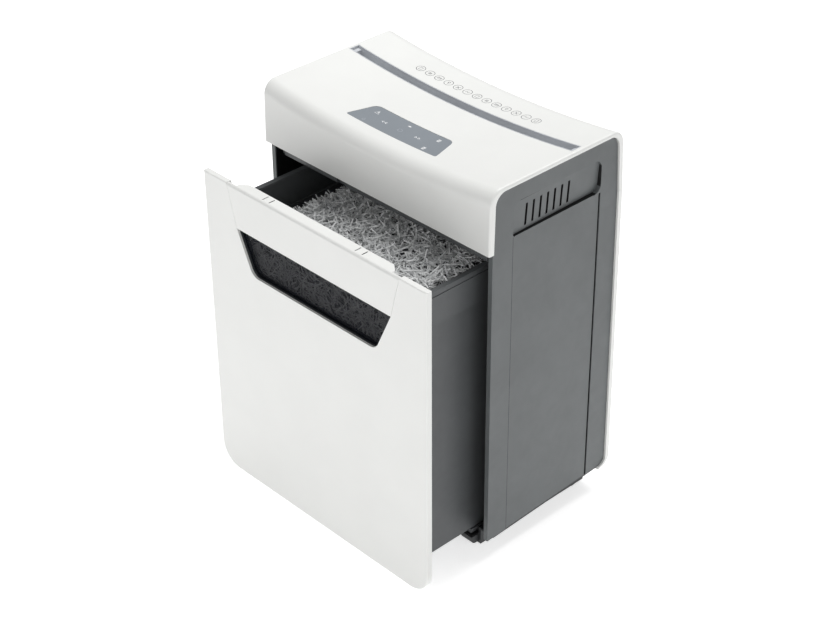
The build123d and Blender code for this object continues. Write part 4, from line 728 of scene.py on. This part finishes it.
@dataclass
class PaperGuideRings:
    """Row of thin grey rings behind the feed slot, each round a plain figure."""

    printer: MarkPrinter
    line_y: float
    count: int = 13
    pitch: float = 12.6 * MM
    radius: float = 4.6
    width: float = 0.52

    def build(self) -> bpy.types.Object:
        """Make the row.

        Returns:
            The joined piece.
        """
        figures = list(Inner)
        marks = []
        for number in range(self.count):
            at = ((number - (self.count - 1) / 2) * self.pitch, self.line_y)
            strokes = (arc(self.radius, 0.0, 360.0, 32), *figures[number % len(figures)].value)
            marks.append(self.printer.print(strokes, at, self.width))
        piece = join(marks, "paper_guide_rings")
        self.printer.finishes.dress(piece, Finish.MARK_GREY)
        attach(piece, "housing")
        return piece


# --- Shreds ---------------------------------------------------------------------------
@dataclass
class StripTemplate:
    """One thin strip of paper, a unit long and wide, modelled once and copied."""

    segments: int = 4

    def build(self) -> tuple[np.ndarray, np.ndarray]:
        """Model the strip.

        Returns:
            Its corner points and its faces of four corners.
        """
        deselect()
        bpy.ops.mesh.primitive_cube_add(size=1.0)
        piece = bpy.context.object
        bpy.ops.object.mode_set(mode="EDIT")
        for number in range(1, self.segments):
            bpy.ops.mesh.select_all(action="SELECT")
            cut = number / self.segments - 0.5
            bpy.ops.mesh.bisect(plane_co=(cut, 0.0, 0.0), plane_no=(1.0, 0.0, 0.0))
        bpy.ops.object.mode_set(mode="OBJECT")
        points = np.array([vertex.co for vertex in piece.data.vertices])
        faces = np.array([list(polygon.vertices) for polygon in piece.data.polygons])
        bpy.data.objects.remove(piece)
        return points, faces


@dataclass
class ShredPile:
    """Many loose strips, curled, turned and laid at random from one seed."""

    template: tuple[np.ndarray, np.ndarray]
    seed: int
    length: tuple[float, float] = (9.0 * MM, 18.0 * MM)
    width: tuple[float, float] = (0.9 * MM, 1.5 * MM)
    thickness: float = 0.12 * MM
    curl: float = 0.8
    twist: float = 0.6

    def strips(self, places: np.ndarray, turns: np.ndarray, tilts: np.ndarray, rolls: np.ndarray,
               name: str) -> bpy.types.Object:
        """Lay one strip at each place.

        Args:
            places: Middles, one row each.
            turns: Headings about Z.
            tilts: How far each end rises.
            rolls: Turn about each strip's own length.
            name: The piece's name.

        Returns:
            All strips as one mesh object with a tone for each.
        """
        random = np.random.default_rng(self.seed)
        points, faces = self.template
        count, corners = len(places), len(points)
        length = random.uniform(*self.length, count)[:, None]
        width = random.uniform(*self.width, count)[:, None]
        bend = random.normal(0.0, self.curl, count)[:, None]
        bend = np.where(np.abs(bend) < 0.05, 0.05, bend)
        angle = bend * points[None, :, 0]
        spiral = random.normal(0.0, self.twist, count)[:, None] * points[None, :, 0]
        across = width * points[None, :, 1]
        thick = self.thickness * points[None, :, 2]
        side = across * np.cos(spiral) - thick * np.sin(spiral)
        out = across * np.sin(spiral) + thick * np.cos(spiral)
        radius = length / bend
        local = np.stack([
            (radius - out) * np.sin(angle),
            side,
            radius * (1 - np.cos(angle)) + out * np.cos(angle),
        ], axis=-1)
        local[..., 2] -= local[..., 2].mean(axis=1, keepdims=True)
        local = self.spin(local, rolls, 0)
        local = self.spin(local, tilts, 1)
        local = self.spin(local, turns, 2)
        world = (local + places[:, None, :]).reshape(-1, 3)
        every = (faces[None, :, :] + corners * np.arange(count)[:, None, None]).reshape(-1, 4)
        return self.mesh(world, every, np.repeat(random.uniform(0, 1, count), corners), name)

    @staticmethod
    def spin(points: np.ndarray, angles: np.ndarray, axis: int) -> np.ndarray:
        """Turn each strip about one axis."""
        first, second = [number for number in range(3) if number != axis]
        cos, sin = np.cos(angles)[:, None], np.sin(angles)[:, None]
        turned = points.copy()
        turned[..., first] = points[..., first] * cos - points[..., second] * sin
        turned[..., second] = points[..., first] * sin + points[..., second] * cos
        return turned

    @staticmethod
    def mesh(points: np.ndarray, faces: np.ndarray, tone: np.ndarray, name: str) -> bpy.types.Object:
        """Make the mesh object.

        Args:
            points: All corners.
            faces: Faces of four corners.
            tone: Tone at each corner.
            name: The piece's name.

        Returns:
            The object, linked to the scene.
        """
        data = bpy.data.meshes.new(name)
        data.from_pydata(points.tolist(), [], faces.tolist())
        attribute = data.attributes.new("tone", "FLOAT", "POINT")
        attribute.data.foreach_set("value", tone.astype(np.float32))
        piece = bpy.data.objects.new(name, data)
        bpy.context.scene.collection.objects.link(piece)
        return piece


@dataclass
class ShredHeap:
    """Heap of shreds in the bin: a rumpled bed, dark with painted shade, with loose strips on it and at the
    window.
    """

    low: Vector
    high: Vector
    finishes: Finishes
    top_count: int = 5300
    window_count: int = 1000
    end_drops: tuple[float, ...] = (48.5, 25.5, 11.5, 6.5, 2.0, 0.0, 1.0)
    end_places: tuple[float, ...] = (0.0, 18.0, 35.0, 58.0)
    shoulder: float = 40.0 * MM
    jitter: float = 4.5 * MM
    bed_step: float = 2.5 * MM
    bed_drop: float = 3.0 * MM
    bed_rough: float = 0.9 * MM
    bed_thick: float = 6.0 * MM
    curtain_columns: int = 90
    curtain_rows: int = 30
    curtain_depth: float = 4.4 * MM
    curtain_rough: float = 0.5 * MM
    curtain_thick: float = 3.0 * MM
    hump: float = 1.3 * MM
    face_depth: float = 3.6 * MM

    def line(self, x: np.ndarray) -> np.ndarray:
        """Height of the heap's top line at x."""
        left = [self.low.x + place * MM for place in self.end_places]
        places = [*left, 0.0, self.high.x - self.shoulder, self.high.x]
        return self.high.z - np.interp(x, places, [drop * MM for drop in self.end_drops])

    def rumple(self, x: np.ndarray, y: np.ndarray) -> np.ndarray:
        """Gentle humps over the heap, up to a couple of millimetres."""
        return self.hump * (
            np.sin(x * 95 + 1.3) * np.cos(y * 120 + 0.4) + 0.6 * np.sin(x * 210 - y * 170)
        )

    def build(self) -> list[bpy.types.Object]:
        """Make the bed and the strips.

        Returns:
            The pieces.
        """
        template = StripTemplate().build()
        bed = self.bed()
        top = self.top_strips(template)
        face = self.face_strips(template)
        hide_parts("shred_heap")
        paper = Finish.SHREDDED_PAPER
        # The bed and curtain get the near-black paper of painted shade.
        for piece, finish in ((bed, Finish.SHRED_SHADE), (top, paper), (face, paper)):
            self.finishes.dress(piece, finish)
            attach(piece, "drawer")
        return [bed, top, face]

    def bed(self) -> bpy.types.Object:
        """Rumpled block under the loose strips, dressed near black as painted shade for the gaps between
        them.
        """
        deselect()
        size = self.high - self.low
        columns, rows = int(size.x / self.bed_step), int(size.y / self.bed_step)
        bpy.ops.mesh.primitive_grid_add(x_subdivisions=columns, y_subdivisions=rows, size=1.0)
        piece = bpy.context.object
        middle = (self.low + self.high) / 2
        random = np.random.default_rng(5)
        for vertex in piece.data.vertices:
            x = middle.x + vertex.co.x * size.x
            y = middle.y + vertex.co.y * size.y
            rough = random.uniform(-self.bed_rough, self.bed_rough)
            drop = self.bed_drop + rough
            vertex.co = (x, y, float(self.line(x) + self.rumple(x, y)) - drop)
        bpy.ops.object.mode_set(mode="EDIT")
        bpy.ops.mesh.select_all(action="SELECT")
        bpy.ops.mesh.extrude_region_move(TRANSFORM_OT_translate={"value": (0.0, 0.0, -self.bed_thick)})
        bpy.ops.mesh.select_all(action="SELECT")
        bpy.ops.mesh.normals_make_consistent(inside=False)
        bpy.ops.object.mode_set(mode="OBJECT")
        curtain = self.curtain()
        piece = join([piece, curtain], "shred_bed")
        tone = piece.data.attributes.new("tone", "FLOAT", "POINT")
        tone.data.foreach_set("value", random.uniform(0.0, 0.5, len(piece.data.vertices)).astype(np.float32))
        return piece

    def curtain(self) -> bpy.types.Object:
        """Rumpled face of the heap behind the window, a dark sheet of painted shade behind the strips
        pressed against it.
        """
        deselect()
        bpy.ops.mesh.primitive_grid_add(
            x_subdivisions=self.curtain_columns, y_subdivisions=self.curtain_rows, size=1.0
        )
        piece = bpy.context.object
        random = np.random.default_rng(6)
        size = self.high - self.low
        for vertex in piece.data.vertices:
            x = self.low.x + (vertex.co.x + 0.5) * size.x
            top = float(self.line(x)) - self.bed_drop
            z = self.low.z + (vertex.co.y + 0.5) * (top - self.low.z)
            y = self.low.y + self.curtain_depth + random.uniform(-self.curtain_rough, self.curtain_rough)
            vertex.co = (x, y, z)
        bpy.ops.object.mode_set(mode="EDIT")
        bpy.ops.mesh.select_all(action="SELECT")
        bpy.ops.mesh.extrude_region_move(TRANSFORM_OT_translate={"value": (0.0, self.curtain_thick, 0.0)})
        bpy.ops.mesh.select_all(action="SELECT")
        bpy.ops.mesh.normals_make_consistent(inside=False)
        bpy.ops.object.mode_set(mode="OBJECT")
        return piece

    def top_strips(self, template: tuple[np.ndarray, np.ndarray]) -> bpy.types.Object:
        """Loose strips over the heap's top."""
        random = np.random.default_rng(11)
        count = self.top_count
        margin = 7.0 * MM
        x = random.uniform(self.low.x + margin, self.high.x - margin / 2, count)
        y = random.uniform(self.low.y + margin, self.high.y - margin, count)
        lift = random.uniform(-2.5 * MM, self.jitter, count)
        places = np.stack([x, y, self.line(x) + self.rumple(x, y) + lift], axis=-1)
        tilts = random.normal(0.0, 0.33, count)
        rolls = random.normal(0.0, 0.6, count)
        turns = random.uniform(0.0, 2 * math.pi, count)
        return ShredPile(template, 21).strips(places, turns, tilts, rolls, "shreds_on_heap")

    def face_strips(self, template: tuple[np.ndarray, np.ndarray]) -> bpy.types.Object:
        """Strips pressed against the window."""
        random = np.random.default_rng(12)
        count = self.window_count
        margin = 6.0 * MM
        x = random.uniform(self.low.x + margin, self.high.x - margin, count)
        share = random.uniform(0.0, 1.0, count)
        z = self.low.z + margin + share * (self.line(x) - self.low.z - margin)
        y = self.low.y + random.uniform(0.6 * MM, self.face_depth, count)
        places = np.stack([x, y, z], axis=-1)
        turns = random.normal(0.0, 0.12, count)
        tilts = random.uniform(-math.pi / 2, math.pi / 2, count)
        rolls = math.pi / 2 + random.normal(0.0, 0.3, count)
        pile = ShredPile(template, 22, curl=0.5, twist=0.5)
        return pile.strips(places, turns, tilts, rolls, "shreds_behind_window")


# --- Studio ---------------------------------------------------------------------------
@dataclass
class Studio:
    """Pale floor, soft light and the camera."""

    camera_place: tuple[float, float, float] = (1.1410, -1.08155, 1.2204)
    yaw: float = 46.51
    pitch: float = 33.10
    roll: float = -0.386
    lens: float = 84.54
    floor_size: float = 12.0

    def camera(self) -> bpy.types.Object:
        """Camera at the object's three-quarter view."""
        data = bpy.data.cameras.new("camera")
        data.lens = self.lens
        data.sensor_width = 36.0
        piece = bpy.data.objects.new("camera", data)
        bpy.context.scene.collection.objects.link(piece)
        turn = (
            Matrix.Rotation(math.radians(self.yaw), 4, "Z")
            @ Matrix.Rotation(math.radians(90 - self.pitch), 4, "X")
            @ Matrix.Rotation(math.radians(self.roll), 4, "Z")
        )
        piece.matrix_world = Matrix.Translation(self.camera_place) @ turn
        bpy.context.scene.camera = piece
        return piece

    def floor(self) -> bpy.types.Object:
        """Wide pale floor that glows a little, so that it stays near white."""
        deselect()
        bpy.ops.mesh.primitive_plane_add(size=self.floor_size, location=(0.0, 0.0, -0.2 * MM))
        piece = settle(bpy.context.object, "studio_floor")
        graph = Graph("studio_floor")
        graph.set(Base_Color=(0.9, 0.9, 0.9, 1.0), Roughness=0.9, Emission_Strength=0.66)
        graph.set(Emission_Color=(1.0, 1.0, 1.0, 1.0))
        piece.data.materials.append(graph.material)
        return piece

    def light(self, name: str, place: tuple[float, float, float], size: float, power: float,
              aim: tuple[float, float, float] = (0.0, 0.0, 0.2)) -> bpy.types.Object:
        """Soft square light.

        Args:
            name: Its name.
            place: Where it hangs.
            size: Side in metres.
            power: Watts.
            aim: What it faces.

        Returns:
            The light.
        """
        data = bpy.data.lights.new(name, "AREA")
        data.size = size
        data.energy = power
        piece = bpy.data.objects.new(name, data)
        bpy.context.scene.collection.objects.link(piece)
        piece.location = place
        piece.rotation_euler = (Vector(aim) - Vector(place)).to_track_quat("-Z", "Y").to_euler()
        return piece

    def world(self, strength: float = 0.22) -> None:
        """Plain white surroundings."""
        world = bpy.data.worlds.new("surroundings")
        world.use_nodes = True
        back = world.node_tree.nodes["Background"]
        back.inputs["Color"].default_value = (1.0, 1.0, 1.0, 1.0)
        back.inputs["Strength"].default_value = strength
        bpy.context.scene.world = world

    def build(self) -> None:
        """Set up everything that isn't the object."""
        self.camera()
        self.floor()
        self.world()
        self.light("overhead", (-0.2, 0.7, 2.1), 1.4, 34.0)
        self.light("front", (0.1, -2.4, 1.6), 1.4, 12.5)
        self.light("right", (2.2, -0.3, 1.2), 1.2, 6.0)
        view = bpy.context.scene.view_settings
        view.view_transform = "Standard"
        view.look = "None"


# --- The whole ------------------------------------------------------------------------
def main() -> None:
    """Load the frame, dress it and build what goes round it."""
    logging.basicConfig(level=logging.INFO, format="%(name)s: %(message)s")
    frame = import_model()
    Studio().build()
    finishes = Finishes()
    slots = {row["node"]: row["material_slot"] for row in frame["record"]["subparts"]}
    finishes.dress_nodes(frame["nodes"], slots)
    LOG.info("dressed %d CAD nodes", len(frame["nodes"]))
    panel_low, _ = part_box("control_panel_overlay")
    panel_marks = TouchPanelMarks(MarkPrinter(surface_of("control_panel_overlay"), finishes), panel_low.y)
    _, slot_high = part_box("feed_slot_guide")
    rings = PaperGuideRings(MarkPrinter(surface_of("head_cover"), finishes), slot_high.y + 16.5 * MM)
    heap = ShredHeap(*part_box("shred_heap"), finishes)
    pieces = panel_marks.build() + [rings.build()] + heap.build()
    for piece in pieces:
        LOG.info("%s: %d faces", piece.name, len(piece.data.polygons))


if __name__ == "__main__":
    main()
